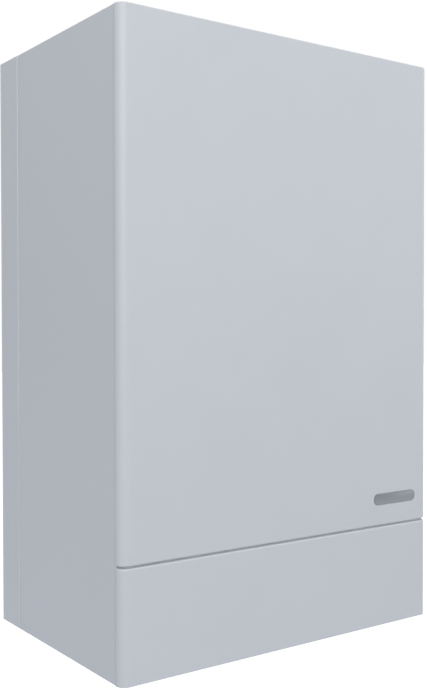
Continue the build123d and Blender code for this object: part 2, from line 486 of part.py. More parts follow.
# Gauge needle: a thin pointer on the spindle, pointing straight down at zero.
NEEDLE_LONG, NEEDLE_T, NEEDLE_ROOT, NEEDLE_TIP = 14, 0.7, 1.1, 0.3
NEEDLE_OFF, HUB_T, HUB_R = 1.2, 1.5, 2.4
with BuildPart() as gauge_needle:
    needle_back = DIAL_FACE - NEEDLE_OFF
    rod_y(GAUGE_X, CONTROLS_UP, needle_back - HUB_T, needle_back, HUB_R)
    with BuildSketch(Plane.XZ.offset(-needle_back)) as pointer:
        with BuildLine():
            Polyline(
                (GAUGE_X - NEEDLE_ROOT, up(CONTROLS_UP)),
                (GAUGE_X + NEEDLE_ROOT, up(CONTROLS_UP)),
                (GAUGE_X + NEEDLE_TIP, up(CONTROLS_UP - NEEDLE_LONG)),
                (GAUGE_X - NEEDLE_TIP, up(CONTROLS_UP - NEEDLE_LONG)),
                close=True,
            )
        make_face()
    extrude(to_extrude=pointer.sketch, amount=NEEDLE_T)
    rod_y(GAUGE_X, CONTROLS_UP, needle_back - HUB_T, needle_back, NEEDLE_PIN_R + RUN_FIT, Mode.SUBTRACT)
finish(gauge_needle, "gauge_needle")

# Knobs: a skirt, a tapered grip with a raised ridge, and a shaft into the potentiometer.
KNOB_BACK = FASCIA_FRONT - 0.5
SKIRT_T, KNOB_EDGE_R, GRIP_TAPER, GRIP_SHORT, SHAFT_SHORT = 4, 1, 4, 2, 2
RIDGE_HALF, RIDGE_DOWN, RIDGE_UP = 2.5, 11, 13
for name, x in KNOB_X.items():
    with BuildPart() as knob:
        skirt_front = KNOB_BACK - SKIRT_T
        rod_y(x, CONTROLS_UP, skirt_front, KNOB_BACK, KNOB_R)
        fillet(knob.faces().sort_by(Axis.Y)[0].edges(), KNOB_EDGE_R)
        with BuildSketch(Plane.XZ.offset(-skirt_front)) as grip:
            with Locations((x, up(CONTROLS_UP))):
                Circle(KNOB_R - SKIRT_T)
        extrude(to_extrude=grip.sketch, amount=KNOB_LONG - SKIRT_T - GRIP_SHORT, taper=GRIP_TAPER)
        fillet(knob.faces().sort_by(Axis.Y)[0].edges(), KNOB_EDGE_R)
        ridge_low, ridge_top = CONTROLS_UP - RIDGE_DOWN, CONTROLS_UP + RIDGE_UP
        slab(x - RIDGE_HALF, x + RIDGE_HALF, KNOB_BACK - KNOB_LONG, skirt_front, ridge_low, ridge_top)
        rod_y(x, CONTROLS_UP, KNOB_BACK, BOARD_FRONT - SHAFT_SHORT, KNOB_SHAFT_R)
    finish(knob, name)

# Reset button: pushes in against the switch on the board.
RESET_OUT, RESET_EDGE_R, RESET_FIT, COLLAR_T, COLLAR_STEP, PLUNGER_R = 4.5, 1, 0.1, 1, 2, 2
with BuildPart() as reset_button:
    collar_front = FASCIA_FRONT + MOULD + RESET_FIT
    collar_back = collar_front + COLLAR_T
    rod_y(RESET_X, CONTROLS_UP, FASCIA_FRONT - RESET_OUT, collar_front, RESET_R)
    fillet(reset_button.faces().sort_by(Axis.Y)[0].edges(), RESET_EDGE_R)
    rod_y(RESET_X, CONTROLS_UP, collar_front, collar_back, RESET_R + COLLAR_STEP)
    plunger_end = BOARD_FRONT - SWITCH_T - RESET_TRAVEL - SHAFT_GAP
    rod_y(RESET_X, CONTROLS_UP, collar_back, plunger_end, PLUNGER_R)
finish(reset_button, "reset_button")

# Flap magnets: two blocks on the fascia that hold the flap shut.
MAGNET_X, MAGNET_HALF = FASCIA_HALF - 28, 8
MAGNET_LOW, MAGNET_TOP = FASCIA_TOP - 16, FASCIA_TOP - 4
with BuildPart() as flap_magnets:
    for x in (-MAGNET_X, MAGNET_X):
        magnet_front = SKIN_IN + SOFT_GAP
        slab(x - MAGNET_HALF, x + MAGNET_HALF, magnet_front, FASCIA_FRONT, MAGNET_LOW, MAGNET_TOP)
finish(flap_magnets, "flap_magnets")


# ======== the burner side ========

# Combustion chamber: side walls that stand on the partition shelf, a back wall, and flanges for the door.
CHAMBER_IN = CHAMBER_HALF - FRAME_SHEET
DOOR_HALF = CHAMBER_HALF + 8
LEG_FRONT, LEG_BACK, LEG_TOP = CHAMBER_FRONT + 30, CHAMBER_BACK - 15, 395
with BuildPart() as combustion_chamber:
    for side in (-1, 1):
        x0, x1 = sorted((side * CHAMBER_HALF, side * CHAMBER_IN))
        slab(x0, x1, CHAMBER_FRONT, CHAMBER_BACK, LEG_TOP, CHAMBER_TOP)
        slab(x0, x1, LEG_FRONT, LEG_BACK, SHELF_TOP, LEG_TOP)
        f0, f1 = sorted((side * CHAMBER_IN, side * DOOR_HALF))
        slab(f0, f1, CHAMBER_FRONT, CHAMBER_FRONT + FRAME_SHEET, CHAMBER_LOW, CHAMBER_TOP)
    slab(-CHAMBER_IN, CHAMBER_IN, CHAMBER_BACK - FRAME_SHEET, CHAMBER_BACK, CHAMBER_LOW, CHAMBER_TOP)
finish(combustion_chamber, "combustion_chamber")

# Chamber door: a plate with pressed ribs, a sight hole and six screws' heads.
SIGHT_X, SIGHT_UP, SIGHT_R, SIGHT_RIM, SIGHT_OUT = 60, 520, 12, 5, 2
ELECTRODE_X, ELECTRODE_UP, ELECTRODE_R = (-20, 20, 95), 462, 4
RIB_UP, RIB_LONG, RIB_W, RIB_OUT, RIB_TAPER = (570, 600), 240, 12, 3, 20
DOOR_FRONT = CHAMBER_FRONT - FRAME_SHEET
DOOR_SCREW_X, DOOR_SCREW_UP = DOOR_HALF - 5, (CHAMBER_LOW + 12, 540, CHAMBER_TOP - 12)
with BuildPart() as chamber_door:
    slab(-DOOR_HALF, DOOR_HALF, DOOR_FRONT, CHAMBER_FRONT, CHAMBER_LOW, CHAMBER_TOP)
    for height in RIB_UP:
        with BuildSketch(Plane.XZ.offset(-DOOR_FRONT)) as rib:
            with Locations((0, up(height))):
                SlotOverall(RIB_LONG, RIB_W)
        extrude(to_extrude=rib.sketch, amount=RIB_OUT, taper=RIB_TAPER)
    rod_y(SIGHT_X, SIGHT_UP, DOOR_FRONT - SIGHT_OUT, DOOR_FRONT, SIGHT_R + SIGHT_RIM)
    rod_y(SIGHT_X, SIGHT_UP, DOOR_FRONT - SIGHT_OUT, CHAMBER_FRONT, SIGHT_R, Mode.SUBTRACT)
    for x in ELECTRODE_X:
        rod_y(x, ELECTRODE_UP, DOOR_FRONT, CHAMBER_FRONT, ELECTRODE_R, Mode.SUBTRACT)
    for x in (-DOOR_SCREW_X, DOOR_SCREW_X):
        for height in DOOR_SCREW_UP:
            rod_y(x, height, DOOR_FRONT - HEAD_T, DOOR_FRONT, HEAD_R)
finish(chamber_door, "chamber_door")

# Sight glass: a clear disc in the door's sight hole.
with BuildPart() as sight_glass:
    rod_y(SIGHT_X, SIGHT_UP, DOOR_FRONT - SIGHT_OUT, CHAMBER_FRONT, SIGHT_R)
finish(sight_glass, "sight_glass")

# Insulation boards: one against each wall of the chamber and one behind the door.
BOARD_GAP, BOARD_LIFT = 0.5, 3
with BuildPart() as chamber_insulation:
    back_board = CHAMBER_BACK - FRAME_SHEET - BOARD
    front_board = CHAMBER_FRONT + BOARD
    board_low = CHAMBER_LOW + BOARD_LIFT
    for x in (-CHAMBER_IN, CHAMBER_IN - BOARD):
        slab(x, x + BOARD, front_board + BOARD_GAP, back_board - BOARD_GAP, board_low, CHAMBER_TOP)
    slab(-CHAMBER_IN, CHAMBER_IN, back_board, back_board + BOARD, board_low, CHAMBER_TOP)
    slab(-CHAMBER_IN, CHAMBER_IN, CHAMBER_FRONT + FRAME_SHEET, front_board, board_low, CHAMBER_TOP)
    rod_y(SIGHT_X, SIGHT_UP, CHAMBER_FRONT, front_board, SIGHT_R, Mode.SUBTRACT)
    for x in ELECTRODE_X:
        rod_y(x, ELECTRODE_UP, CHAMBER_FRONT, front_board, ELECTRODE_R, Mode.SUBTRACT)
finish(chamber_insulation, "chamber_insulation")

# Burner: hollow bars on two cross rails, each with a row of ports on top and a venturi mouth at the front.
BAR_PITCH, BAR_W, BAR_SKIN, BARS_IN = 25, 10, 0.8, 32.5
BARS = int(2 * (CHAMBER_HALF - BARS_IN) / BAR_PITCH) + 1
BAR_X = [(i - (BARS - 1) / 2) * BAR_PITCH for i in range(BARS)]
BURNER_LOW, BURNER_TOP = 400, 442
BURNER_FRONT, BURNER_BACK = CHAMBER_FRONT + 32, CHAMBER_BACK - 35
MOUTH_UP, MOUTH_R, MOUTH_LONG, MOUTH_DEEP = 411, 7, 14, 10
PORTS_HALF, PORTS_RISE, PORTS_FRONT, PORTS_BACK = 2, 2, 16, 6
RAIL_LOW, RAIL_TOP, RAIL_T = 422, 430, 4
with BuildPart() as burner:
    for x in BAR_X:
        bar_front = BURNER_FRONT + MOUTH_LONG - 2
        slab(x - BAR_W / 2, x + BAR_W / 2, bar_front, BURNER_BACK, BURNER_LOW, BURNER_TOP)
        ports_front, ports_back = BURNER_FRONT + PORTS_FRONT, BURNER_BACK - PORTS_BACK
        ports_top = BURNER_TOP + PORTS_RISE
        slab(x - PORTS_HALF, x + PORTS_HALF, ports_front, ports_back, BURNER_TOP, ports_top)
        room = BAR_W / 2 - BAR_SKIN
        cavity_front, cavity_back = bar_front + BAR_SKIN, BURNER_BACK - BAR_SKIN
        cavity_low, cavity_top = BURNER_LOW + BAR_SKIN, BURNER_TOP - BAR_SKIN
        slab(x - room, x + room, cavity_front, cavity_back, cavity_low, cavity_top, Mode.SUBTRACT)
        rod_y(x, MOUTH_UP, BURNER_FRONT, BURNER_FRONT + MOUTH_LONG, MOUTH_R)
        rod_y(x, MOUTH_UP, BURNER_FRONT, BURNER_FRONT + MOUTH_DEEP, MOUTH_R - 1, Mode.SUBTRACT)
    for y in (BURNER_FRONT + 18, BURNER_BACK - 10):
        slab(-CHAMBER_IN, CHAMBER_IN, y, y + RAIL_T, RAIL_LOW, RAIL_TOP)
finish(burner, "burner")

# Gas manifold: a tube across the front with an injector for every bar, on two lugs.
MANIFOLD_R, MANIFOLD_IN, INJECTOR_R, INJECTOR_ROOT, INJECTOR_GAP = 10, 15, 3.5, 8, 2
LUG_IN, LUG_HALF_Y, LUG_HALF_UP = 20, 4, 8
GAS_INLET_LOW = MOUTH_UP - 20
with BuildPart() as gas_manifold:
    manifold_end = CHAMBER_HALF - MANIFOLD_IN
    rod((-manifold_end, GAS_FRONT_Y, MOUTH_UP), (manifold_end, GAS_FRONT_Y, MOUTH_UP), MANIFOLD_R)
    for x in BAR_X:
        rod_y(x, MOUTH_UP, GAS_FRONT_Y + INJECTOR_ROOT, BURNER_FRONT - INJECTOR_GAP, INJECTOR_R)
    lug = CHAMBER_HALF - LUG_IN
    lug_front, lug_back = GAS_FRONT_Y - LUG_HALF_Y, GAS_FRONT_Y + LUG_HALF_Y
    for x0, x1 in ((-CHAMBER_IN, -lug), (lug, CHAMBER_IN)):
        slab(x0, x1, lug_front, lug_back, MOUTH_UP - LUG_HALF_UP, MOUTH_UP + LUG_HALF_UP)
    rod_z(GAS_X, GAS_FRONT_Y, GAS_INLET_LOW, MOUTH_UP, PIPE_SMALL_R + 2)
finish(gas_manifold, "gas_manifold")

# Electrodes: two for ignition and one for flame sensing, each a ceramic rod with a wire towards the bars.
CERAMIC_OUT, CERAMIC_IN, WIRE_R, WIRE_PAST, WIRE_RISE = 10, 12, 1.2, 30, 8
with BuildPart() as electrodes:
    for x in ELECTRODE_X:
        ceramic_end = CHAMBER_FRONT + BOARD + CERAMIC_IN
        rod_y(x, ELECTRODE_UP, DOOR_FRONT - CERAMIC_OUT, ceramic_end, ELECTRODE_R)
        wire_tip = (x, BURNER_FRONT + WIRE_PAST, BURNER_TOP + WIRE_RISE)
        rod((x, ceramic_end - 1, ELECTRODE_UP), wire_tip, WIRE_R)
finish(electrodes, "electrodes")

# Heat exchanger: a casing with fins, brazed on five tubes that are joined by bends outside the casing.
FIN_PITCH, FIN_T, FINS_IN, FIN_SHY = 9, 0.8, 8, 8
FINS = int(2 * (CHAMBER_HALF - FINS_IN) / FIN_PITCH) + 1
FIN_FRONT, FIN_BACK = CHAMBER_FRONT + 30, CHAMBER_BACK - 25
CASING_T, BEND_OUT = 1.5, 2
with BuildPart() as heat_exchanger:
    slab(-CHAMBER_HALF, CHAMBER_HALF, CHAMBER_FRONT, CHAMBER_BACK, CHAMBER_TOP, EXCHANGER_TOP)
    inside = CHAMBER_HALF - CASING_T
    inside_front, inside_back = CHAMBER_FRONT + CASING_T, CHAMBER_BACK - CASING_T
    slab(-inside, inside, inside_front, inside_back, CHAMBER_TOP, EXCHANGER_TOP, Mode.SUBTRACT)
    for i in range(FINS):
        x = (i - (FINS - 1) / 2) * FIN_PITCH
        fin_low, fin_top = CHAMBER_TOP + FIN_SHY, EXCHANGER_TOP - FIN_SHY
        slab(x - FIN_T / 2, x + FIN_T / 2, FIN_FRONT, FIN_BACK, fin_low, fin_top)
    bend_x = CHAMBER_HALF + BEND_OUT
    for y in TUBE_Y:
        rod((-bend_x, y, TUBE_UP), (bend_x, y, TUBE_UP), TUBE_R)
    for y in TUBE_Y:
        rod((-bend_x, y, TUBE_UP), (bend_x, y, TUBE_UP), TUBE_R - PIPE_WALL, Mode.SUBTRACT)
    for side, pairs in ((-1, (0, 2)), (1, (1, 3))):
        for i in pairs:
            end = (side * bend_x, TUBE_Y[i], up(TUBE_UP))
            with BuildSketch(Plane(origin=end, z_dir=(1, 0, 0))) as eye:
                Circle(TUBE_R)
            turn = Axis((side * bend_x, (TUBE_Y[i] + TUBE_Y[i + 1]) / 2, up(TUBE_UP)), (0, 0, side))
            revolve(profiles=eye.sketch, axis=turn, revolution_arc=-180)
    rod((bend_x, TUBE_Y[0], TUBE_UP), (STUB_X, TUBE_Y[0], TUBE_UP), TUBE_R)
    rod((-bend_x, TUBE_Y[-1], TUBE_UP), (-STUB_X, TUBE_Y[-1], TUBE_UP), TUBE_R)
finish(heat_exchanger, "heat_exchanger")

# Flue hood: a low roof over the heat exchanger that narrows to an upright neck behind the fan.
HOOD_TOP, NECK_TOP, NECK_D = 728, 838, 60
NECK_LEFT, NECK_RIGHT, NECK_BACK = FAN_X - 48, FAN_X + 48, FAN_BACK + NECK_D
FAN_INLET_R, FAN_SHAFT_HOLE_R = 24, 12
with BuildPart() as flue_hood:
    for wall, mode in ((0, Mode.ADD), (FRAME_SHEET, Mode.SUBTRACT)):
        with BuildSketch(Plane.XY.offset(up(EXCHANGER_TOP))) as foot:
            with Locations((0, (CHAMBER_FRONT + CHAMBER_BACK) / 2)):
                Rectangle(2 * (CHAMBER_HALF - wall), CHAMBER_BACK - CHAMBER_FRONT - 2 * wall)
        with BuildSketch(Plane.XY.offset(up(HOOD_TOP))) as mouth:
            with Locations((FAN_X, (FAN_BACK + NECK_BACK) / 2)):
                Rectangle(NECK_RIGHT - NECK_LEFT - 2 * wall, NECK_D - 2 * wall)
        loft(sections=[foot.sketch, mouth.sketch], mode=mode)
        left, right, roof = NECK_LEFT + wall, NECK_RIGHT - wall, NECK_TOP - wall
        slab(left, right, FAN_BACK + wall, NECK_BACK - wall, HOOD_TOP, roof, mode)
    rod_y(FAN_X, FAN_UP, FAN_BACK, FAN_BACK + FRAME_SHEET, FAN_INLET_R, Mode.SUBTRACT)
finish(flue_hood, "flue_hood")

# Fan housing: a scroll with its inlet at the back and its outlet upwards into the flue.
OUTLET_HALF, OUTLET_PAST = 24, 1
with BuildPart() as fan_housing:
    for wall, mode in ((0, Mode.ADD), (FRAME_SHEET, Mode.SUBTRACT)):
        rod_y(FAN_X, FAN_UP, FAN_FRONT + wall, FAN_BACK - wall, FAN_R - wall, mode)
        lid = NECK_TOP if wall == 0 else NECK_TOP + OUTLET_PAST
        slab(wall - OUTLET_HALF, OUTLET_HALF - wall, FAN_FRONT + wall, FAN_BACK - wall, FAN_UP, lid, mode)
    rod_y(FAN_X, FAN_UP, FAN_BACK - FRAME_SHEET, FAN_BACK, FAN_INLET_R, Mode.SUBTRACT)
    rod_y(FAN_X, FAN_UP, FAN_FRONT, FAN_FRONT + FRAME_SHEET, FAN_SHAFT_HOLE_R, Mode.SUBTRACT)
finish(fan_housing, "fan_housing")

# Fan motor: bolted to the scroll's front, with a bearing for the impeller's shaft.
MOTOR_R, MOTOR_LONG, MOTOR_EDGE_R, SHAFT_R, MOTOR_END = 30, 44, 4, 3, 6
FOOT_X, FOOT_R, FOOT_T, FOOT_HALF, BOLT_HEAD_T = 34, 7, 3, 6, 1
with BuildPart() as fan_motor:
    rod_y(FAN_X, FAN_UP, FAN_FRONT - MOTOR_LONG, FAN_FRONT, MOTOR_R)
    fillet(fan_motor.faces().sort_by(Axis.Y)[0].edges(), MOTOR_EDGE_R)
    for x in (-FOOT_X, FOOT_X):
        rod_y(FAN_X + x, FAN_UP, FAN_FRONT - FOOT_T - BOLT_HEAD_T, FAN_FRONT, FOOT_R)
    foot_low, foot_top = FAN_UP - FOOT_HALF, FAN_UP + FOOT_HALF
    slab(FAN_X - FOOT_X, FAN_X + FOOT_X, FAN_FRONT - FOOT_T, FAN_FRONT, foot_low, foot_top)
    bearing_front = FAN_FRONT - MOTOR_LONG + MOTOR_END
    rod_y(FAN_X, FAN_UP, bearing_front, FAN_FRONT, SHAFT_R + RUN_FIT, Mode.SUBTRACT)
finish(fan_motor, "fan_motor")

# Fan impeller: a disc with blades and a rear ring, on the motor's shaft.
BLADES, BLADE_T, WHEEL_R, BLADE_IN = 20, 1.4, 42, 30
WHEEL_GAP, WHEEL_T, RING_IN, SHAFT_END_GAP = 8, 2, 2, 2
WHEEL_HUB_R, WHEEL_HUB_SHORT = 9, 6
WHEEL_FRONT, WHEEL_BACK = FAN_FRONT + WHEEL_GAP, FAN_BACK - WHEEL_GAP
with BuildPart() as fan_impeller:
    rod_y(FAN_X, FAN_UP, WHEEL_FRONT, WHEEL_FRONT + WHEEL_T, WHEEL_R)
    rod_y(FAN_X, FAN_UP, WHEEL_BACK - WHEEL_T, WHEEL_BACK, WHEEL_R)
    rod_y(FAN_X, FAN_UP, WHEEL_BACK - WHEEL_T, WHEEL_BACK, BLADE_IN - RING_IN, Mode.SUBTRACT)
    blade_front = WHEEL_FRONT + WHEEL_T / 2
    with BuildSketch(Plane.XZ.offset(-blade_front)) as blades:
        with Locations((FAN_X, up(FAN_UP))):
            with PolarLocations((WHEEL_R + BLADE_IN) / 2 - 1, BLADES):
                Rectangle(WHEEL_R - BLADE_IN, BLADE_T)
    extrude(to_extrude=blades.sketch, amount=blade_front + WHEEL_T / 2 - WHEEL_BACK)
    rod_y(FAN_X, FAN_UP, WHEEL_FRONT, WHEEL_BACK - WHEEL_HUB_SHORT, WHEEL_HUB_R)
    rod_y(FAN_X, FAN_UP, bearing_front + SHAFT_END_GAP, WHEEL_FRONT, SHAFT_R)
finish(fan_impeller, "fan_impeller")

# Flue collar: a flanged spigot on the top panel for the air pipe, screwed down with four screws.
COLLAR_FLANGE_R, COLLAR_FLANGE_T, COLLAR_RISE, COLLAR_WALL, COLLAR_SCREWS = 66, 2.5, 30, 1.5, 4
COLLAR_TOP = PANEL_TOP + COLLAR_RISE
with BuildPart() as flue_collar:
    rod_z(0, FLUE_Y, PANEL_TOP, PANEL_TOP + COLLAR_FLANGE_T, COLLAR_FLANGE_R)
    rod_z(0, FLUE_Y, PANEL_TOP, COLLAR_TOP, FLUE_OUTER_R)
    rod_z(0, FLUE_Y, PANEL_TOP, COLLAR_TOP, FLUE_OUTER_R - COLLAR_WALL, Mode.SUBTRACT)
    with Locations((0, FLUE_Y, up(PANEL_TOP + COLLAR_FLANGE_T))):
        with PolarLocations((COLLAR_FLANGE_R + FLUE_OUTER_R) / 2, COLLAR_SCREWS, start_angle=45):
            Cylinder(HEAD_R, HEAD_T, align=(Align.CENTER, Align.CENTER, Align.MIN))
finish(flue_collar, "flue_collar")

# Inner flue duct: stands on the fan's outlet and the neck's roof, and rises through the collar.
DUCT_FLANGE_HALF, DUCT_FLANGE_T, DUCT_WALL = 32, 1.5, 1.2
with BuildPart() as inner_flue_duct:
    flange_front, flange_back = FLUE_Y - DUCT_FLANGE_HALF, FLUE_Y + DUCT_FLANGE_HALF
    flange_top = NECK_TOP + DUCT_FLANGE_T
    slab(-DUCT_FLANGE_HALF, DUCT_FLANGE_HALF, flange_front, flange_back, NECK_TOP, flange_top)
    rod_z(0, FLUE_Y, NECK_TOP, COLLAR_TOP, FLUE_INNER_R)
    rod_z(0, FLUE_Y, NECK_TOP, COLLAR_TOP, FLUE_INNER_R - DUCT_WALL, Mode.SUBTRACT)
finish(inner_flue_duct, "inner_flue_duct")

# Air pressure switch: a round diaphragm case on the right side panel, with its sensing tube to the hood's
# neck.
SWITCH_Y, SWITCH_UP, SWITCH_R, SWITCH_X, SWITCH_EDGE_R = -230, 770, 30, SIDE_IN - 26, 4
NOZZLE_LONG, NOZZLE_R, SENSE_R, SENSE_SKIN, SENSE_BEND = 12, 5, 3.5, 3.4, 30
SENSE_X, SENSE_MID_X, SENSE_Y, SENSE_UP = 170, 100, -160, 795
with BuildPart() as air_pressure_switch:
    rod((SWITCH_X, SWITCH_Y, SWITCH_UP), (SIDE_IN, SWITCH_Y, SWITCH_UP), SWITCH_R)
    fillet(air_pressure_switch.faces().sort_by(Axis.X)[0].edges(), SWITCH_EDGE_R)
    rod((SWITCH_X - NOZZLE_LONG, SWITCH_Y, SWITCH_UP), (SWITCH_X, SWITCH_Y, SWITCH_UP), NOZZLE_R)
    sense_route = [
        (SWITCH_X - NOZZLE_LONG + NOZZLE_R, SWITCH_Y, SWITCH_UP),
        (SENSE_X, SWITCH_Y, SWITCH_UP),
        (SENSE_MID_X, SENSE_Y, SENSE_UP),
        (NECK_RIGHT, SENSE_Y, SENSE_UP),
    ]
    tube(sense_route, SENSE_R, SENSE_BEND, SENSE_SKIN)
finish(air_pressure_switch, "air_pressure_switch")

# Expansion vessel: a flat round steel shell on the back plate, behind the chamber, with its pipe at the
# bottom.
VESSEL_MID, VESSEL_THICK, VESSEL_SKIN = -60, 84, 1.5
RIM_HALF, RIM_IN, DOME_IN = 6, 6, 40
BOSS_R, PORT_LOW, PORT_IN = 20, 16, 10


def vessel_body(skin, mode):
    """Adds or cuts the vessel's round body, its surface a skin's thickness further in."""
    z = up(VESSEL_UP)
    front, back = VESSEL_MID - VESSEL_THICK / 2 + skin, VESSEL_MID + VESSEL_THICK / 2 - skin
    rim, dome = z + VESSEL_R - RIM_IN - skin, z + VESSEL_R - DOME_IN
    with BuildSketch(Plane.YZ) as half:
        with BuildLine():
            Line((front, z), (front, dome))
            TangentArc((front, dome), (VESSEL_MID - RIM_HALF, rim), tangent=(0, 1))
            Line((VESSEL_MID - RIM_HALF, rim), (VESSEL_MID + RIM_HALF, rim))
            TangentArc((back, dome), (VESSEL_MID + RIM_HALF, rim), tangent=(0, 1))
            Line((back, dome), (back, z))
            Line((back, z), (front, z))
        make_face()
    revolve(profiles=half.sketch, axis=Axis((0, 0, z), (0, 1, 0)), mode=mode)


with BuildPart() as expansion_vessel:
    vessel_body(0, Mode.ADD)
    rod_y(0, VESSEL_UP, VESSEL_MID - RIM_HALF, VESSEL_MID + RIM_HALF, VESSEL_R)
    rod_y(0, VESSEL_UP, VESSEL_MID + VESSEL_THICK / 2 - 1, BACK_FACE, BOSS_R)
    vessel_foot = VESSEL_UP - VESSEL_R
    rod_z(0, VESSEL_PIPE_Y, vessel_foot - PORT_LOW, vessel_foot + PORT_IN, HOSE_R + 3)
    vessel_body(VESSEL_SKIN, Mode.SUBTRACT)
finish(expansion_vessel, "expansion_vessel")


# ======== the water and gas side ========

# Pump: a round volute with its motor to the front, standing on the return block.
VOLUTE_R, VOLUTE_BACK, VOLUTE_FRONT, VOLUTE_WALL = 45, -95, -146, 5
CAN_R, CAN_FRONT, CAN_EDGE_R, CAN_WALL, CAN_END = 40, -232, 4, 8, 8
PUMP_SHAFT_R, SHAFT_START = 5, 3
INLET_R, INLET_TOP, NUT_LIFT, NUT_TALL, PUMP_NUT = 16, PUMP_UP - 30, 8, 16, 42
OUTLET_R, OUTLET_LOW, OUTLET_TOP = 13, PUMP_UP + 30, PUMP_UP + 65
VENT_X, VENT_NECK_R, VENT_LOW = PUMP_X - 32, 9, PUMP_UP + 50
with BuildPart() as pump_body:
    rod_y(PUMP_X, PUMP_UP, VOLUTE_FRONT, VOLUTE_BACK, VOLUTE_R)
    rod_y(PUMP_X, PUMP_UP, CAN_FRONT, VOLUTE_FRONT, CAN_R)
    fillet(pump_body.faces().sort_by(Axis.Y)[0].edges(), CAN_EDGE_R)
    rod_z(PUMP_X, PUMP_Y, BLOCK_TOP, INLET_TOP, INLET_R)
    hexagon(PUMP_X, PUMP_Y, BLOCK_TOP + NUT_LIFT, BLOCK_TOP + NUT_LIFT + NUT_TALL, PUMP_NUT)
    rod_z(PUMP_X, PUMP_Y, OUTLET_LOW, OUTLET_TOP, OUTLET_R)
    rod_z(VENT_X, PUMP_Y, VENT_LOW - OUTLET_LOW + PUMP_UP, VENT_LOW, VENT_NECK_R)
    volute_front, volute_back = VOLUTE_FRONT + VOLUTE_WALL, VOLUTE_BACK - VOLUTE_WALL + 1
    rod_y(PUMP_X, PUMP_UP, volute_front, volute_back, VOLUTE_R - VOLUTE_WALL, Mode.SUBTRACT)
    rod_y(PUMP_X, PUMP_UP, CAN_FRONT + CAN_END, VOLUTE_FRONT, CAN_R - CAN_WALL, Mode.SUBTRACT)
    shaft_start = CAN_FRONT + SHAFT_START
    rod_y(PUMP_X, PUMP_UP, shaft_start, volute_front, PUMP_SHAFT_R + RUN_FIT, Mode.SUBTRACT)
finish(pump_body, "pump_body")

# Pump rotor: the shaft with the wet rotor and the impeller.
ROTOR_R, ROTOR_FRONT_GAP, ROTOR_BACK_GAP = 24, 6, 6
WET_R, WET_FRONT_GAP, WET_BACK_GAP, SHAFT_PAST = 34, 7, 12, 4
with BuildPart() as pump_rotor:
    wet_back = volute_back - WET_BACK_GAP
    rod_y(PUMP_X, PUMP_UP, shaft_start + 1, wet_back + SHAFT_PAST, PUMP_SHAFT_R)
    rotor_front = CAN_FRONT + CAN_END + ROTOR_FRONT_GAP
    rod_y(PUMP_X, PUMP_UP, rotor_front, VOLUTE_FRONT - ROTOR_BACK_GAP, ROTOR_R)
    rod_y(PUMP_X, PUMP_UP, volute_front + WET_FRONT_GAP, wet_back, WET_R)
finish(pump_rotor, "pump_rotor")

# Air vent: a brass cylinder with a cap on the pump's casing.
VENT_R, VENT_TALL, VENT_EDGE_R, CAP_R, CAP_TALL = 14, 50, 2, 5, 8
with BuildPart() as air_vent:
    vent_top = VENT_LOW + VENT_TALL
    rod_z(VENT_X, PUMP_Y, VENT_LOW, vent_top, VENT_R)
    fillet(air_vent.edges().filter_by(GeomType.CIRCLE), VENT_EDGE_R)
    rod_z(VENT_X, PUMP_Y, vent_top, vent_top + CAP_TALL, CAP_R)
finish(air_vent, "air_vent")

# Flow block: the left brass block with the diverter's body, flow and hot-water ports, bored along its
# length.
BLOCK_BORE_R, BLOCK_EDGE_R, BORE_END, BORE_DEEP_END = 21, 6, 6, 26
FLOW_LEFT, FLOW_RIGHT = TAIL_X["flow"] - 23.5, TAIL_X["hot"] + 23.5
FLOW_PORT_X, FLOW_PORT_Y, FLOW_PORT_TALL, FLOW_NUT = -150, -115, 22, 34
DIVERTER_X, DIVERTER_UP, DIVERTER_R, DIVERTER_LONG = TAIL_X["flow"], 128, 14, 14
SPINDLE_R, SPINDLE_IN, SPINDLE_HOLE = 3, 10, 20
BORE_AT = (BLOCK_FRONT + BLOCK_BACK) / 2, (BLOCK_LOW + BLOCK_TOP) / 2
with BuildPart() as flow_block:
    slab(FLOW_LEFT, FLOW_RIGHT, BLOCK_FRONT, BLOCK_BACK, BLOCK_LOW, BLOCK_TOP)
    fillet(flow_block.edges().filter_by(Axis.Y), BLOCK_EDGE_R)
    neck_front, hole_back = BLOCK_FRONT - DIVERTER_LONG, BLOCK_FRONT + SPINDLE_HOLE
    rod_y(DIVERTER_X, DIVERTER_UP, neck_front, BLOCK_FRONT, DIVERTER_R)
    rod_y(DIVERTER_X, DIVERTER_UP, neck_front, hole_back, SPINDLE_R + RUN_FIT, Mode.SUBTRACT)
    port_top = BLOCK_TOP + FLOW_PORT_TALL
    rod_z(FLOW_PORT_X, FLOW_PORT_Y, BLOCK_TOP, port_top, RISER_R + 4)
    hexagon(FLOW_PORT_X, FLOW_PORT_Y, BLOCK_TOP + 4, port_top - 4, FLOW_NUT)
    bore_start, bore_end = FLOW_LEFT + BORE_DEEP_END, FLOW_RIGHT - BORE_END
    rod((bore_start, *BORE_AT), (bore_end, *BORE_AT), BLOCK_BORE_R, Mode.SUBTRACT)
finish(flow_block, "flow_block")

# Diverter spindle: slides between the motor and the block to send the water to the heating or to the taps.
DIVERTER_GAP, HEAD_FREE, SPINDLE_HEAD_R, SPINDLE_HEAD_T = 10, 0.5, 5, 2
with BuildPart() as diverter_spindle:
    drive_back = neck_front - DIVERTER_GAP
    head_front = drive_back + HEAD_FREE
    rod_y(DIVERTER_X, DIVERTER_UP, head_front, BLOCK_FRONT + SPINDLE_IN, SPINDLE_R)
    rod_y(DIVERTER_X, DIVERTER_UP, head_front, head_front + SPINDLE_HEAD_T, SPINDLE_HEAD_R)
finish(diverter_spindle, "diverter_spindle")

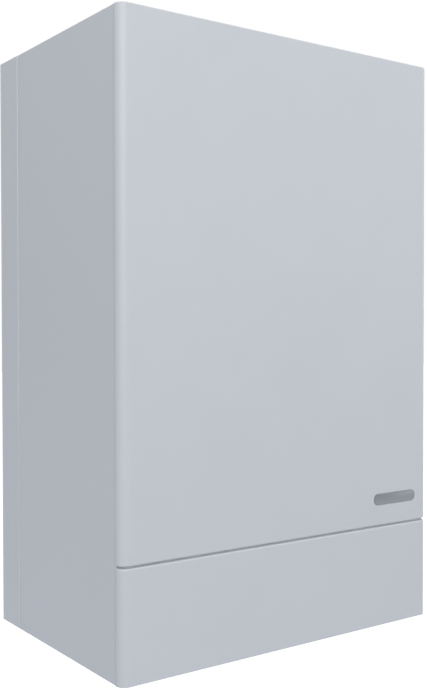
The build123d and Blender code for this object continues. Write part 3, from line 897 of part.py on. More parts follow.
# Diverter motor: a small geared drive on two legs in front of the block.
DRIVE_LEFT, DRIVE_RIGHT, DRIVE_LONG, DRIVE_HALF, DRIVE_EDGE_R = DIVERTER_X - 24, DIVERTER_X + 18, 34, 22, 4
LEG_UP, LEG_T, LEG_INSET = (DIVERTER_UP - 20, DIVERTER_UP + 15), 5, 4
with BuildPart() as diverter_motor:
    drive_low, drive_top = DIVERTER_UP - DRIVE_HALF, DIVERTER_UP + DRIVE_HALF
    slab(DRIVE_LEFT, DRIVE_RIGHT, drive_back - DRIVE_LONG, drive_back, drive_low, drive_top)
    fillet(diverter_motor.edges().filter_by(Axis.Y), DRIVE_EDGE_R)
    for height in LEG_UP:
        left, right = DRIVE_LEFT + LEG_INSET, DRIVE_RIGHT - LEG_INSET
        slab(left, right, drive_back, BLOCK_FRONT, height, height + LEG_T)
finish(diverter_motor, "diverter_motor")

# Return block: the right brass block with the cold inlet, the heating return and the relief valve's body.
RETURN_LEFT, RETURN_RIGHT = TAIL_X["cold"] - 18.5, TAIL_X["relief"] + 23.5
VESSEL_PORT_X, VESSEL_PORT_Y, VESSEL_PORT_TALL = 55, -115, 14
RELIEF_X, RELIEF_UP, RELIEF_R, RELIEF_LONG = TAIL_X["relief"], 122, 13, 24
RELIEF_STEM_R, RELIEF_STEM_LONG, RELIEF_BORE_END = 4, 6, 30
with BuildPart() as return_block:
    slab(RETURN_LEFT, RETURN_RIGHT, BLOCK_FRONT, BLOCK_BACK, BLOCK_LOW, BLOCK_TOP)
    fillet(return_block.edges().filter_by(Axis.Y), BLOCK_EDGE_R)
    rod_z(VESSEL_PORT_X, VESSEL_PORT_Y, BLOCK_TOP, BLOCK_TOP + VESSEL_PORT_TALL, HOSE_R + 4)
    relief_front = BLOCK_FRONT - RELIEF_LONG
    rod_y(RELIEF_X, RELIEF_UP, relief_front, BLOCK_FRONT, RELIEF_R)
    rod_y(RELIEF_X, RELIEF_UP, relief_front - RELIEF_STEM_LONG, relief_front, RELIEF_STEM_R)
    bore_start, bore_end = RETURN_LEFT + BORE_END, RETURN_RIGHT - RELIEF_BORE_END
    rod((bore_start, *BORE_AT), (bore_end, *BORE_AT), BLOCK_BORE_R, Mode.SUBTRACT)
finish(return_block, "return_block")

# Relief knob: a quarter-turn cap on the relief valve.
KNOB_GAP, RELIEF_CAP_LONG, RELIEF_CAP_R, CAP_EDGE_R = 1, 18, 15, 2
GRIP_HALF, GRIP_OUT, GRIP_TALL_HALF = 2.5, 6, 12
with BuildPart() as relief_knob:
    cap_back = relief_front - KNOB_GAP
    cap_front = cap_back - RELIEF_CAP_LONG
    rod_y(RELIEF_X, RELIEF_UP, cap_front, cap_back, RELIEF_CAP_R)
    fillet(relief_knob.faces().sort_by(Axis.Y)[0].edges(), CAP_EDGE_R)
    grip_low, grip_top = RELIEF_UP - GRIP_TALL_HALF, RELIEF_UP + GRIP_TALL_HALF
    slab(RELIEF_X - GRIP_HALF, RELIEF_X + GRIP_HALF, cap_front - GRIP_OUT, cap_front, grip_low, grip_top)
    socket_front = cap_back - RELIEF_STEM_LONG
    rod_y(RELIEF_X, RELIEF_UP, socket_front, cap_back, RELIEF_STEM_R + RUN_FIT, Mode.SUBTRACT)
finish(relief_knob, "relief_knob")

# Plate heat exchanger: a stack of thin plates bolted across the two blocks.
PLATES, PLATE_PITCH, STACK_LEFT, STACK_RIGHT, STACK_LOW, STACK_TOP = 16, 2.9, -130, 70, 90, 166
END_PLATE_T, STACK_EDGE_R, CORE_IN, PLATE_IN, PLATE_R = 3, 6, 4, 2, 8
CORE_ROOM_IN, CORE_ROOM_END, CORE_ROOM_EDGE = 12, 3, 8
with BuildPart() as plate_exchanger:
    core_back = BLOCK_FRONT - END_PLATE_T
    core_front = core_back - PLATES * PLATE_PITCH
    slab(STACK_LEFT, STACK_RIGHT, core_back, BLOCK_FRONT, STACK_LOW, STACK_TOP)
    core_left, core_right = STACK_LEFT + CORE_IN, STACK_RIGHT - CORE_IN
    core_low, core_top = STACK_LOW + CORE_IN, STACK_TOP - CORE_IN
    slab(core_left, core_right, core_front, core_back, core_low, core_top)
    fillet(plate_exchanger.edges().filter_by(Axis.Y), STACK_EDGE_R)
    plate_w = STACK_RIGHT - STACK_LEFT - 2 * PLATE_IN
    plate_tall = STACK_TOP - STACK_LOW - 2 * PLATE_IN
    for i in range(PLATES):
        plate_at = core_back - (i + 1) * PLATE_PITCH
        with BuildSketch(Plane.XZ.offset(-plate_at)) as plate:
            with Locations(((STACK_LEFT + STACK_RIGHT) / 2, up((STACK_LOW + STACK_TOP) / 2))):
                RectangleRounded(plate_w, plate_tall, PLATE_R)
        extrude(to_extrude=plate.sketch, amount=-PLATE_PITCH / 2)
    room_front, room_back = core_front + CORE_ROOM_END, core_back - CORE_ROOM_END
    room_left, room_right = core_left + CORE_ROOM_IN, core_right - CORE_ROOM_IN
    room_low, room_top = core_low + CORE_ROOM_EDGE, core_top - CORE_ROOM_EDGE
    slab(room_left, room_right, room_front, room_back, room_low, room_top, Mode.SUBTRACT)
finish(plate_exchanger, "plate_exchanger")

# Gas valve: a cast body with two solenoids under a bridge, a test nipple and its pipe bosses.
GAS_VALVE_LOW, GAS_VALVE_TOP, GAS_BODY_LOW, GAS_BODY_TOP = 190, 286, 202, 276
GAS_BODY_LEFT, GAS_BODY_RIGHT, GAS_BODY_FRONT, GAS_BODY_BACK, GAS_EDGE_R = -72, 10, -146, -92, 3
GAS_OUT_Y, INLET_BOSS_R, OUTLET_BOSS_R = -118, 17, 14
SOLENOID_X, SOLENOID_UP, SOLENOID_R, SOLENOID_FRONT = (-52, -12), 236, 15, -190
NIPPLE_X, NIPPLE_UP, NIPPLE_R, NIPPLE_FRONT = -32, 216, 4, -156
BRIDGE_LEFT, BRIDGE_RIGHT, BRIDGE_LOW, BRIDGE_TOP, BRIDGE_T = -64, 0, 222, 250, 6
with BuildPart() as gas_valve:
    slab(GAS_BODY_LEFT, GAS_BODY_RIGHT, GAS_BODY_FRONT, GAS_BODY_BACK, GAS_BODY_LOW, GAS_BODY_TOP)
    fillet(gas_valve.edges(), GAS_EDGE_R)
    rod_z(TAIL_X["gas"], TAIL_Y, GAS_VALVE_LOW, GAS_BODY_LOW + 2, INLET_BOSS_R)
    rod_z(GAS_X, GAS_OUT_Y, GAS_BODY_TOP - 2, GAS_VALVE_TOP, OUTLET_BOSS_R)
    for x in SOLENOID_X:
        rod_y(x, SOLENOID_UP, SOLENOID_FRONT, GAS_BODY_FRONT + 2, SOLENOID_R)
    rod_y(NIPPLE_X, NIPPLE_UP, NIPPLE_FRONT, GAS_BODY_FRONT + 2, NIPPLE_R)
    bridge_front = SOLENOID_FRONT - BRIDGE_T
    slab(BRIDGE_LEFT, BRIDGE_RIGHT, bridge_front, SOLENOID_FRONT, BRIDGE_LOW, BRIDGE_TOP)
finish(gas_valve, "gas_valve")

# Isolating valves: round bodies with union nuts under the tray and a spindle to the front; the cold and
# return valves are linked by the filling tap.
VALVE_R, UPPER_NUT, UPPER_NUT_TALL, LOWER_NUT, LOWER_NUT_TALL = 15, 36, 14, 34, 10
SPINDLE_BOSS_R, SPINDLE_FRONT, PIN_R, PIN_LONG = 8, -134, 3, 8
TAP_X, TAP_UP, LINK_R, TAP_R, TAP_DOWN, TAP_RISE = TAIL_PITCH, 56, 5, 8, 12, 8
with BuildPart() as valve_bodies:
    for name in VALVED:
        x = TAIL_X[name]
        rod_z(x, TAIL_Y, VALVE_LOW, TRAY_UP, VALVE_R)
        hexagon(x, TAIL_Y, TRAY_UP - UPPER_NUT_TALL, TRAY_UP, UPPER_NUT)
        hexagon(x, TAIL_Y, VALVE_LOW, VALVE_LOW + LOWER_NUT_TALL, LOWER_NUT)
        rod_y(x, VALVE_UP, SPINDLE_FRONT, TAIL_Y, SPINDLE_BOSS_R)
        rod_y(x, VALVE_UP, SPINDLE_FRONT - PIN_LONG, SPINDLE_FRONT, PIN_R)
    rod((TAIL_X["cold"], TAIL_Y, TAP_UP), (TAIL_X["return"], TAIL_Y, TAP_UP), LINK_R)
    tap_low = TAP_UP - TAP_DOWN
    rod_z(TAP_X, TAIL_Y, tap_low, TAP_UP + TAP_RISE, TAP_R)
    rod_z(TAP_X, TAIL_Y, tap_low - PIN_LONG, tap_low, PIN_R)
finish(valve_bodies, "valve_bodies")

# Valve handles: a hub on the spindle's pin with a lever that hangs down when the valve is open.
LEVER_LONG, LEVER_W, LEVER_T, LEVER_BACK = 36, 10, 4, 2
HANDLE_HUB_R, HUB_FRONT, HUB_GAP = 8, 7, 0.5
for name in VALVED:
    x = TAIL_X[name]
    with BuildPart() as handle:
        hub_front, hub_back = SPINDLE_FRONT - HUB_FRONT, SPINDLE_FRONT - HUB_GAP
        rod_y(x, VALVE_UP, hub_front, hub_back, HANDLE_HUB_R)
        lever_back = SPINDLE_FRONT - LEVER_BACK
        lever_front, lever_low = lever_back - LEVER_T, VALVE_UP - LEVER_LONG
        slab(x - LEVER_W / 2, x + LEVER_W / 2, lever_front, lever_back, lever_low, VALVE_UP)
        rod_y(x, lever_low, lever_front, lever_back, LEVER_W / 2)
        rod_y(x, VALVE_UP, hub_front, hub_back, PIN_R + RUN_FIT, Mode.SUBTRACT)
    finish(handle, f"{name}_valve_handle")

# Filling knob: the tap's wheel under the filling link.
WHEEL_LONG, FILL_R, FLUTE_R, FLUTES, PIN_HOLE = 16, 10, 2, 6, 10
with BuildPart() as filling_knob:
    knob_top = tap_low - HUB_GAP
    knob_low = knob_top - WHEEL_LONG
    rod_z(TAP_X, TAIL_Y, knob_low, knob_top, FILL_R)
    with Locations((TAP_X, TAIL_Y, up(knob_low))):
        with PolarLocations(FILL_R, FLUTES):
            Cylinder(FLUTE_R, WHEEL_LONG, align=(Align.CENTER, Align.CENTER, Align.MIN))
    rod_z(TAP_X, TAIL_Y, knob_top - PIN_HOLE, knob_top, PIN_R + RUN_FIT, Mode.SUBTRACT)
finish(filling_knob, "filling_knob")

# Pipes: six tails, the risers to the blocks, the flow and return pipes, the gas pipe and the vessel's pipe.
RISER_BEND, GAS_BEND, VESSEL_BEND = 20, 18, 30
FLOW_RUN_UP, PIPE_RUN_UP, VESSEL_RUN_UP, VESSEL_DROP_UP = 330, 325, 310, 270
with BuildPart() as copper_pipes:
    for name, x in TAIL_X.items():
        radius = TAIL_R.get(name, PIPE_SMALL_R)
        block = GAS_VALVE_LOW if name == "gas" else BLOCK_LOW
        runs = [(TAIL_END, VALVE_LOW), (TRAY_UP, block)] if name in VALVED else [(TAIL_END, block)]
        for low, high in runs:
            rod_z(x, TAIL_Y, low, high, radius)
            rod_z(x, TAIL_Y, low, high, radius - PIPE_WALL, Mode.SUBTRACT)
    flow_route = [
        (-STUB_X, TUBE_Y[-1], TUBE_UP),
        (-RISER_X, TUBE_Y[-1], TUBE_UP),
        (-RISER_X, TUBE_Y[-1], FLOW_RUN_UP),
        (FLOW_PORT_X, FLOW_PORT_Y, FLOW_RUN_UP),
        (FLOW_PORT_X, FLOW_PORT_Y, port_top),
    ]
    tube(flow_route, RISER_R, RISER_BEND)
    return_route = [
        (STUB_X, TUBE_Y[0], TUBE_UP),
        (RISER_X, TUBE_Y[0], TUBE_UP),
        (RISER_X, TUBE_Y[0], PIPE_RUN_UP),
        (PUMP_X, PUMP_Y, PIPE_RUN_UP),
        (PUMP_X, PUMP_Y, OUTLET_TOP),
    ]
    tube(return_route, RISER_R, RISER_BEND)
    gas_route = [
        (GAS_X, GAS_OUT_Y, GAS_VALVE_TOP),
        (GAS_X, GAS_OUT_Y, PIPE_RUN_UP),
        (GAS_X, GAS_FRONT_Y, PIPE_RUN_UP),
        (GAS_X, GAS_FRONT_Y, GAS_INLET_LOW),
    ]
    tube(gas_route, PIPE_SMALL_R, GAS_BEND)
    vessel_route = [
        (0, VESSEL_PIPE_Y, vessel_foot - PORT_LOW),
        (0, VESSEL_PIPE_Y, VESSEL_RUN_UP),
        (VESSEL_PORT_X, VESSEL_PORT_Y, VESSEL_DROP_UP),
        (VESSEL_PORT_X, VESSEL_PORT_Y, BLOCK_TOP + VESSEL_PORT_TALL),
    ]
    tube(vessel_route, HOSE_R, VESSEL_BEND)
finish(copper_pipes, "copper_pipes")

# Cable gland: a threaded body through the bottom tray with a nut on each side and a bore for the cable.
GLAND_DOWN, GLAND_RISE, GLAND_NUT, GLAND_NUT_T, GLAND_SEAT_T = 20, 10, 19, 5, 8
GLAND_CAP_R, CABLE_R = 8, 3.5
with BuildPart() as cable_gland:
    gland_low, tray_top = TRAY_UP - GLAND_DOWN, TRAY_UP + FRAME_SHEET
    gland_top = tray_top + GLAND_RISE
    rod_z(GLAND_X, GLAND_Y, gland_low, gland_top, GLAND_R)
    hexagon(GLAND_X, GLAND_Y, tray_top, tray_top + GLAND_NUT_T, GLAND_NUT)
    hexagon(GLAND_X, GLAND_Y, TRAY_UP - GLAND_SEAT_T, TRAY_UP, GLAND_NUT)
    rod_z(GLAND_X, GLAND_Y, gland_low, TRAY_UP - GLAND_SEAT_T, GLAND_CAP_R)
    rod_z(GLAND_X, GLAND_Y, gland_low, gland_top, CABLE_R, Mode.SUBTRACT)
finish(cable_gland, "cable_gland")
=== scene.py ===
from math import cos, pi, radians, sin

import bmesh
import bpy
from mathutils import Euler, Matrix, Vector


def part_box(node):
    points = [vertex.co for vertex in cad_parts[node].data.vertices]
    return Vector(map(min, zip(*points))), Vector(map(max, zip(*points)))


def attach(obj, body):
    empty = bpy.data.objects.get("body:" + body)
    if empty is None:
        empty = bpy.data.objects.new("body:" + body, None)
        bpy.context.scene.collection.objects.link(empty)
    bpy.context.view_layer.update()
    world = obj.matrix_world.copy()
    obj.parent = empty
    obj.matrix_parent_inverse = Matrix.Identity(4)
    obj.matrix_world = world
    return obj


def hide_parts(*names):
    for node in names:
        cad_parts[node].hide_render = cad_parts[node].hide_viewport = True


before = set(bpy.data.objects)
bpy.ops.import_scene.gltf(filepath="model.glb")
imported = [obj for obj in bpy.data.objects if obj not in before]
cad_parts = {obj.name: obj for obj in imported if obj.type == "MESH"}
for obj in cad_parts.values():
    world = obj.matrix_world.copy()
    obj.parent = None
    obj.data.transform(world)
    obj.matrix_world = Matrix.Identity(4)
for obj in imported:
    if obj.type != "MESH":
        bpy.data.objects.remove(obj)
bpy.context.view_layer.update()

bl_info = {
    "name": "Wall-hung combi boiler",
    "version": (1, 0, 0),
    "blender": (4, 5, 0),
    "location": "View3D > Sidebar > Boiler",
    "description": "Dresses a wall-hung combi boiler, outside and inside, and sets up a studio",
    "category": "Add Mesh",
}

CASE_LOW, CASE_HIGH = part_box("rear_frame")  # the case's outline, wall side
UNDERSIDE = CASE_LOW.z
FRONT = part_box("lower_flap")[0].y
MM = 0.001
INK = 0.00015  # thickness of a printed shape
FIGURE_RISE = 0.00008  # how far a printed figure stands up from its plane
HEIGHT_PX = 690  # the photograph's frame is 427 x 690


def linear(code):
    """An sRGB hex colour, such as D9DDE2, as linear red, green and blue."""
    parts = [int(code[i : i + 2], 16) / 255 for i in (0, 2, 4)]
    return tuple(p / 12.92 if p <= 0.04045 else ((p + 0.055) / 1.055) ** 2.4 for p in parts)


def at(x, y, height):
    """A point in millimetres, with its height above the case's underside, in the frame's metres."""
    return Vector((x * MM, y * MM, UNDERSIDE + height * MM))


# ---------------------------------------------------------------- properties


def size(name, description, millimetres):
    """A length property with its default in millimetres."""
    return bpy.props.FloatProperty(
        name=name, description=description, default=millimetres * MM, unit="LENGTH"
    )


def strength(name, description, amount):
    """A plain number property, such as a lamp's watts."""
    return bpy.props.FloatProperty(name=name, description=description, default=amount)


def tint(name, description, code):
    """A colour property with an sRGB hex colour as its default."""
    return bpy.props.FloatVectorProperty(
        name=name, description=description, subtype="COLOR", default=linear(code), min=0, max=1
    )


class BoilerShape(bpy.types.PropertyGroup):
    """Sizes of the pieces that are modelled here, in metres."""

    corner: size("Corner radius", "Upright edges of the front panel and the flap", 13)
    sheet: size("Sheet", "Thickness of the case's sheet", 1)
    panel_return: size("Return", "How far the front panel and the flap reach back", 14)
    groove_up: size("Groove height", "Middle of the dark groove above the underside", 150)
    groove: size("Groove", "Width of the dark groove", 2)
    roll: size("Rolled edge", "Bend radius beside the groove", 3)
    top_bend: size("Top bend", "Bend radius along the front panel's top edge", 2)
    foot_gap: size("Foot gap", "How far the flap's foot lies above the underside", 0.5)
    pocket: size("Pocket", "Depth of the badge's pocket", 1.4)
    flutes: bpy.props.IntProperty(
        name="Flutes", description="Grip flutes round each knob", default=20, min=8, max=40
    )


class BoilerColours(bpy.types.PropertyGroup):
    """Colours that a user would change."""

    enamel: tint("Enamel", "Powder coat of the case", "D5DAE1")
    badge: tint("Badge", "Bare plate on the front", "83868B")
    fascia: tint("Fascia", "Moulded front of the control box", "A9AEB4")
    vessel: tint("Vessel", "Stoved paint of the expansion vessel", "A8231D")


class BoilerStudio(bpy.types.PropertyGroup):
    """Camera and lamps."""

    lens_px: strength("Lens", "Focal length in pixels of the photograph", 974.8)
    camera: bpy.props.FloatVectorProperty(
        name="Camera",
        description="Camera's place",
        subtype="TRANSLATION",
        unit="LENGTH",
        default=at(-877.8, -1402.5, 449.5),
    )
    aim: bpy.props.FloatVectorProperty(
        name="Aim",
        description="Pitch, roll and yaw",
        subtype="EULER",
        default=(radians(88.94), radians(0.08), radians(-35.51)),
    )
    key: strength("Key lamp", "Large soft lamp at the left, in watts", 55.0)
    fill: strength("Fill lamp", "Large soft lamp at the right, in watts", 19.0)
    top: strength("Top lamp", "Large soft lamp overhead, in watts", 34.0)
    sky: strength("Sky", "Light from all round", 0.245)


# ---------------------------------------------------------------- materials

DRIFT_LOW, DRIFT_HIGH = 0.7, 1.3  # the part of the two noises' sum over which tone and roughness change
BROAD = 40  # how many grains wide the broad drift is


def add_node(tree, kind, settings, inputs):
    """Adds a node; settings are its properties, and each input is a value or the socket that feeds it."""
    node = tree.nodes.new(kind)
    for name, value in settings.items():
        setattr(node, name, value)
    for name, value in inputs.items():
        if isinstance(value, bpy.types.NodeSocket):
            tree.links.new(value, node.inputs[name])
        else:
            node.inputs[name].default_value = value
    return node


def surface(name, colour, shade, grain_mm, bump_mm, stretch=(1, 1, 1), rough=0.5, rough_spread=0.1, **shader):
    """A material whose colour, roughness and relief drift together over a grain of a real size.

    colour and shade are its lighter and darker tones, and shader holds Principled sockets by name.
    """
    made = bpy.data.materials.new(name)
    made.use_nodes = True
    tree = made.node_tree
    tree.nodes.clear()
    place = add_node(tree, "ShaderNodeTexCoord", {}, {})
    grid = add_node(tree, "ShaderNodeMapping", {}, {"Vector": place.outputs["Object"], "Scale": stretch})
    fine = add_node(
        tree,
        "ShaderNodeTexNoise",
        {},
        {"Vector": grid.outputs[0], "Scale": 1 / (grain_mm * MM), "Detail": 3.0},
    )
    broad = add_node(
        tree,
        "ShaderNodeTexNoise",
        {},
        {"Vector": grid.outputs[0], "Scale": 1 / (grain_mm * BROAD * MM), "Detail": 2.0},
    )
    drift = add_node(
        tree, "ShaderNodeMath", {"operation": "ADD"}, {0: fine.outputs["Fac"], 1: broad.outputs["Fac"]}
    )
    tone = add_node(
        tree,
        "ShaderNodeMapRange",
        {},
        {"Value": drift.outputs[0], "From Min": DRIFT_LOW, "From Max": DRIFT_HIGH},
    )
    paint = add_node(
        tree,
        "ShaderNodeMix",
        {"data_type": "RGBA"},
        {0: tone.outputs[0], 6: (*shade, 1), 7: (*colour, 1)},
    )
    gloss = add_node(
        tree,
        "ShaderNodeMapRange",
        {},
        {
            "Value": drift.outputs[0],
            "From Min": DRIFT_LOW,
            "From Max": DRIFT_HIGH,
            "To Min": rough - rough_spread,
            "To Max": rough + rough_spread,
        },
    )
    relief = add_node(
        tree,
        "ShaderNodeBump",
        {},
        {"Height": fine.outputs["Fac"], "Distance": bump_mm * MM, "Strength": 1.0},
    )
    sockets = {
        "Base Color": paint.outputs[2],
        "Roughness": gloss.outputs[0],
        "Normal": relief.outputs[0],
    }
    sockets.update({key.replace("_", " "): value for key, value in shader.items()})
    skin = add_node(tree, "ShaderNodeBsdfPrincipled", {}, sockets)
    add_node(tree, "ShaderNodeOutputMaterial", {}, {"Surface": skin.outputs[0]})
    return made


def darker(colour, share):
    """A colour with a share of its light taken away."""
    return tuple(c * (1 - share) for c in colour)


def powder_coat(colour):
    """Polyester powder coat on sheet steel: an even satin with a faint orange peel 2.5 mm across."""
    shade = darker(colour, 0.025)
    return surface("powder_coat_steel", colour, shade, 2.5, 0.012, rough=0.42, rough_spread=0.03, IOR=1.5)


def metal(name, light, dark, grain_mm, bump_mm, rough, stretch=(1, 1, 1)):
    """A bare metal whose two sRGB tones and roughness drift only a little."""
    return surface(
        name, linear(light), linear(dark), grain_mm, bump_mm, stretch, rough, rough_spread=0.05, Metallic=1.0
    )


def galvanised_sheet():
    """Hot-dip galvanised sheet: crystals of zinc 9 mm across, each catching the light at its own angle."""
    made = metal("galvanised_sheet", "B9BCBE", "96999C", 9, 0.01, 0.42)
    tree = made.node_tree
    skin = next(n for n in tree.nodes if n.type == "BSDF_PRINCIPLED")
    place = next(n for n in tree.nodes if n.type == "TEX_COORD")
    crystals = add_node(
        tree, "ShaderNodeTexVoronoi", {}, {"Vector": place.outputs["Object"], "Scale": 1 / (9 * MM)}
    )
    spangle = add_node(
        tree,
        "ShaderNodeMix",
        {"data_type": "RGBA"},
        {0: crystals.outputs["Color"], 6: (*linear("A3A7AA"), 1), 7: (*linear("BABDBF"), 1)},
    )
    tree.links.new(spangle.outputs[2], skin.inputs["Base Color"])
    return made


def bright_steel():
    """Zinc-plated turned steel: cool and fairly sharp, with the lathe's faint variation."""
    return metal("zinc_plated_steel", "C9CACB", "B6B8BA", 1.2, 0.003, 0.3)


def pressed_stainless():
    """Pressed stainless plate: a soft mill finish with barely visible streaks along X."""
    return metal("pressed_stainless", "BFBEBA", "B4B2AE", 1.5, 0.002, 0.34, (0.2, 1, 1))


def cast_aluminium():
    """Die-cast aluminium: pale grey with a matt, slightly mottled casting skin."""
    return metal("die_cast_aluminium", "BFC1C3", "B0B3B5", 3, 0.02, 0.5)


def cast_brass():
    """Hot-stamped brass: yellow, a little dull from handling."""
    return metal("stamped_brass", "C9A663", "B59150", 6, 0.015, 0.4)


def copper_tube():
    """Drawn copper tube: bright, with broad, faintly darker patches of tarnish."""
    return metal("drawn_copper", "C98260", "B06D4E", 6, 0.003, 0.3)


def dark_enamel():
    """Cataphoretic dip paint on cast iron: near black, satin, over a sand-cast grain."""
    return surface("dip_painted_cast_iron", linear("2C3238"), linear("20252A"), 2, 0.05, rough=0.5, IOR=1.5)


def stoved_paint(colour):
    """Stoved gloss paint on pressed steel: deep colour and a clear highlight."""
    shade = darker(colour, 0.15)
    return surface("stoved_gloss_paint", colour, shade, 6, 0.01, rough=0.26, rough_spread=0.04, IOR=1.5)


def moulded_abs(name, colour, spark_mm=0.9):
    """Injection-moulded ABS with a spark-eroded texture that breaks up its highlight."""
    shade = darker(colour, 0.08)
    return surface(name, colour, shade, spark_mm, 0.02, rough=0.48, rough_spread=0.05, IOR=1.54)


def satin_plate(colour):
    """Satin anodised badge plate: brushed along its length under a clear film."""
    shade, along = darker(colour, 0.08), (0.05, 1, 1)
    return surface("satin_anodised_plate", colour, shade, 1.2, 0.003, along, rough=0.36, Metallic=0.75)


def foam_rubber():
    """Closed-cell EPDM foam: black, dull, with open cut cells a millimetre across."""
    light, dark = linear("26272A"), linear("151618")
    return surface("closed_cell_foam", light, dark, 1.0, 0.15, rough=0.9, rough_spread=0.05)


def fibre_board():
    """Vacuum-formed ceramic fibre board: off-white, matt, with a soft felted relief."""
    light, dark = linear("E6E1D3"), linear("CFC8B6")
    return surface("ceramic_fibre_board", light, dark, 2.2, 0.2, rough=0.92, rough_spread=0.04)


def glazed_porcelain():
    """Glazed porcelain insulator: cream white with a sharp highlight."""
    light, dark = linear("EEEADF"), linear("DDD7C8")
    return surface("glazed_porcelain", light, dark, 5, 0.005, rough=0.12, rough_spread=0.03)


def solder_mask():
    """Green solder mask on glass-epoxy board: the tracks below show as a faint lighter pattern."""
    light, dark = linear("1F6B45"), linear("124A2E")
    return surface("solder_masked_board", light, dark, 2.0, 0.03, rough=0.3, Coat_Weight=0.4)


def ferrite_magnet():
    """Sintered ferrite in a dull black case."""
    return surface("sintered_ferrite", linear("2A2B2E"), linear("1C1D1F"), 1.0, 0.03, rough=0.6)


def print_ink():
    """Pad-printed ink: flat and slightly raised."""
    return surface("pad_printed_ink", linear("23262B"), linear("1B1E22"), 1.5, 0.002, rough=0.55)


def dial_card():
    """Screen-printed white dial card."""
    light, dark = linear("F1F2F0"), linear("E6E7E4")
    return surface("printed_dial_card", light, dark, 2, 0.004, rough=0.6, rough_spread=0.04)


def clear_glass():
    """Clear lens: thin, smooth, mostly seen by its reflections."""
    return surface(
        "clear_lens",
        linear("F4F8F8"),
        linear("EDF3F3"),
        20,
        0.001,
        rough=0.05,
        rough_spread=0.02,
        Transmission_Weight=1.0,
        IOR=1.45,
        Alpha=0.35,
    )


# ---------------------------------------------------------------- mesh helpers


def publish(bm, name, finishes, body, *nodes, smooth=35):
    """Turns a bmesh into a piece that rides on a body and stands for the named CAD nodes."""
    bmesh.ops.recalc_face_normals(bm, faces=bm.faces)
    mesh = bpy.data.meshes.new(name)
    bm.to_mesh(mesh)
    bm.free()
    mesh.shade_smooth()
    mesh.set_sharp_from_angle(angle=radians(smooth))
    piece = bpy.data.objects.new(name, mesh)
    bpy.context.scene.collection.objects.link(piece)
    for finish in finishes:
        mesh.materials.append(finish)
    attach(piece, body)
    if nodes:
        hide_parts(*nodes)
    return piece


def block(bm, low, high, edge, finish=0):
    """Adds a block with softened edges between two corners."""
    grown = bmesh.ops.create_cube(bm, size=1)["verts"]
    extent, middle = high - low, (high + low) / 2
    bmesh.ops.transform(bm, matrix=Matrix.Translation(middle) @ Matrix.Diagonal((*extent, 1)), verts=grown)
    edges = {e for v in grown for e in v.link_edges}
    faces = {f for v in grown for f in v.link_faces}
    if edge:
        faces |= set(bmesh.ops.bevel(bm, geom=list(edges), offset=edge, segments=2, affect="EDGES")["faces"])
    for face in faces:
        if face.is_valid:
            face.material_index = finish


def lathe(bm, profile, centre, steps, flutes=0, depth=0.0, facing=Matrix.Identity(3)):
    """Turns a profile of (radius, distance along, fluted) about an axis.

    The axis points to the front, unless facing turns it.
    """
    rings = []
    for radius, forward, fluted in profile:
        ring = []
        for i in range(steps):
            turn = 2 * pi * i / steps
            wave = depth * (0.5 - 0.5 * cos(flutes * turn)) if fluted else 0
            r = radius - wave
            ring.append(bm.verts.new(centre + facing @ Vector((r * sin(turn), -forward, r * cos(turn)))))
        rings.append(ring)
    for lower, upper in zip(rings, rings[1:]):
        for i in range(steps):
            j = (i + 1) % steps
            bm.faces.new((lower[i], lower[j], upper[j], upper[i]))
    for ring in (rings[0], rings[-1]):
        bm.faces.new(ring)


def flat_shape(bm, outline, front, finish=0):
    """Adds a thin printed shape on a plane that faces front; its outline is (x, z) points in metres."""
    verts = [bm.verts.new((x, front, z)) for x, z in outline]
    face = bm.faces.new(verts)
    face.material_index = finish
    raised = bmesh.ops.extrude_face_region(bm, geom=[face])["geom"]
    verts = [part for part in raised if isinstance(part, bmesh.types.BMVert)]
    bmesh.ops.translate(bm, vec=(0, -INK, 0), verts=verts)
    for part in raised:
        if isinstance(part, bmesh.types.BMFace):
            part.material_index = finish
            for edge in part.edges:
                for side in edge.link_faces:
                    side.material_index = finish


def ring_ticks(bm, centre, front, inner, outer, turns, width):
    """Adds radial printed ticks round a centre; turns are degrees clockwise from straight up."""
    for turn in turns:
        out = Vector((sin(radians(turn)), cos(radians(turn))))
        across = Vector((out.y, -out.x)) * width / 2
        middle = Vector((centre.x, centre.z))
        corners = (out * inner - across, out * outer - across, out * outer + across, out * inner + across)
        flat_shape(bm, [middle + c for c in corners], front)


def rectangle(middle_x, middle_z, wide, tall):
    """The outline of an upright rectangle for flat_shape."""
    x0, x1, z0, z1 = middle_x - wide / 2, middle_x + wide / 2, middle_z - tall / 2, middle_z + tall / 2
    return [(x0, z0), (x1, z0), (x1, z1), (x0, z1)]


def arc_band(bm, centre, front, inner, outer, start, end, finish=0):
    """Adds a printed band along an arc, from one turn to another in degrees clockwise from straight up."""
    steps = max(3, int(abs(end - start) / 8))
    turns = [radians(start + (end - start) * i / steps) for i in range(steps + 1)]
    outline = [(centre.x + inner * sin(t), centre.z + inner * cos(t)) for t in turns]
    outline += [(centre.x + outer * sin(t), centre.z + outer * cos(t)) for t in reversed(turns)]
    flat_shape(bm, outline, front, finish)


def figure(text, x, front, z, tall, finish, body):
    """Adds one printed figure, such as a number on a dial, facing the front."""
    curve = bpy.data.curves.new(f"print_{text}", "FONT")
    curve.body = text
    curve.size = tall
    curve.align_x = curve.align_y = "CENTER"
    curve.extrude = FIGURE_RISE
    flat = bpy.data.objects.new("print", curve)
    mesh = bpy.data.meshes.new_from_object(flat)
    mesh.transform(Matrix.Translation((x, front, z)) @ Matrix.Rotation(radians(90), 4, "X"))
    bpy.data.objects.remove(flat)
    piece = bpy.data.objects.new(f"figure_{text}_{int(abs(x) * 1e4)}_{int(abs(z) * 1e4)}", mesh)
    bpy.context.scene.collection.objects.link(piece)
    mesh.materials.append(finish)
    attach(piece, body)


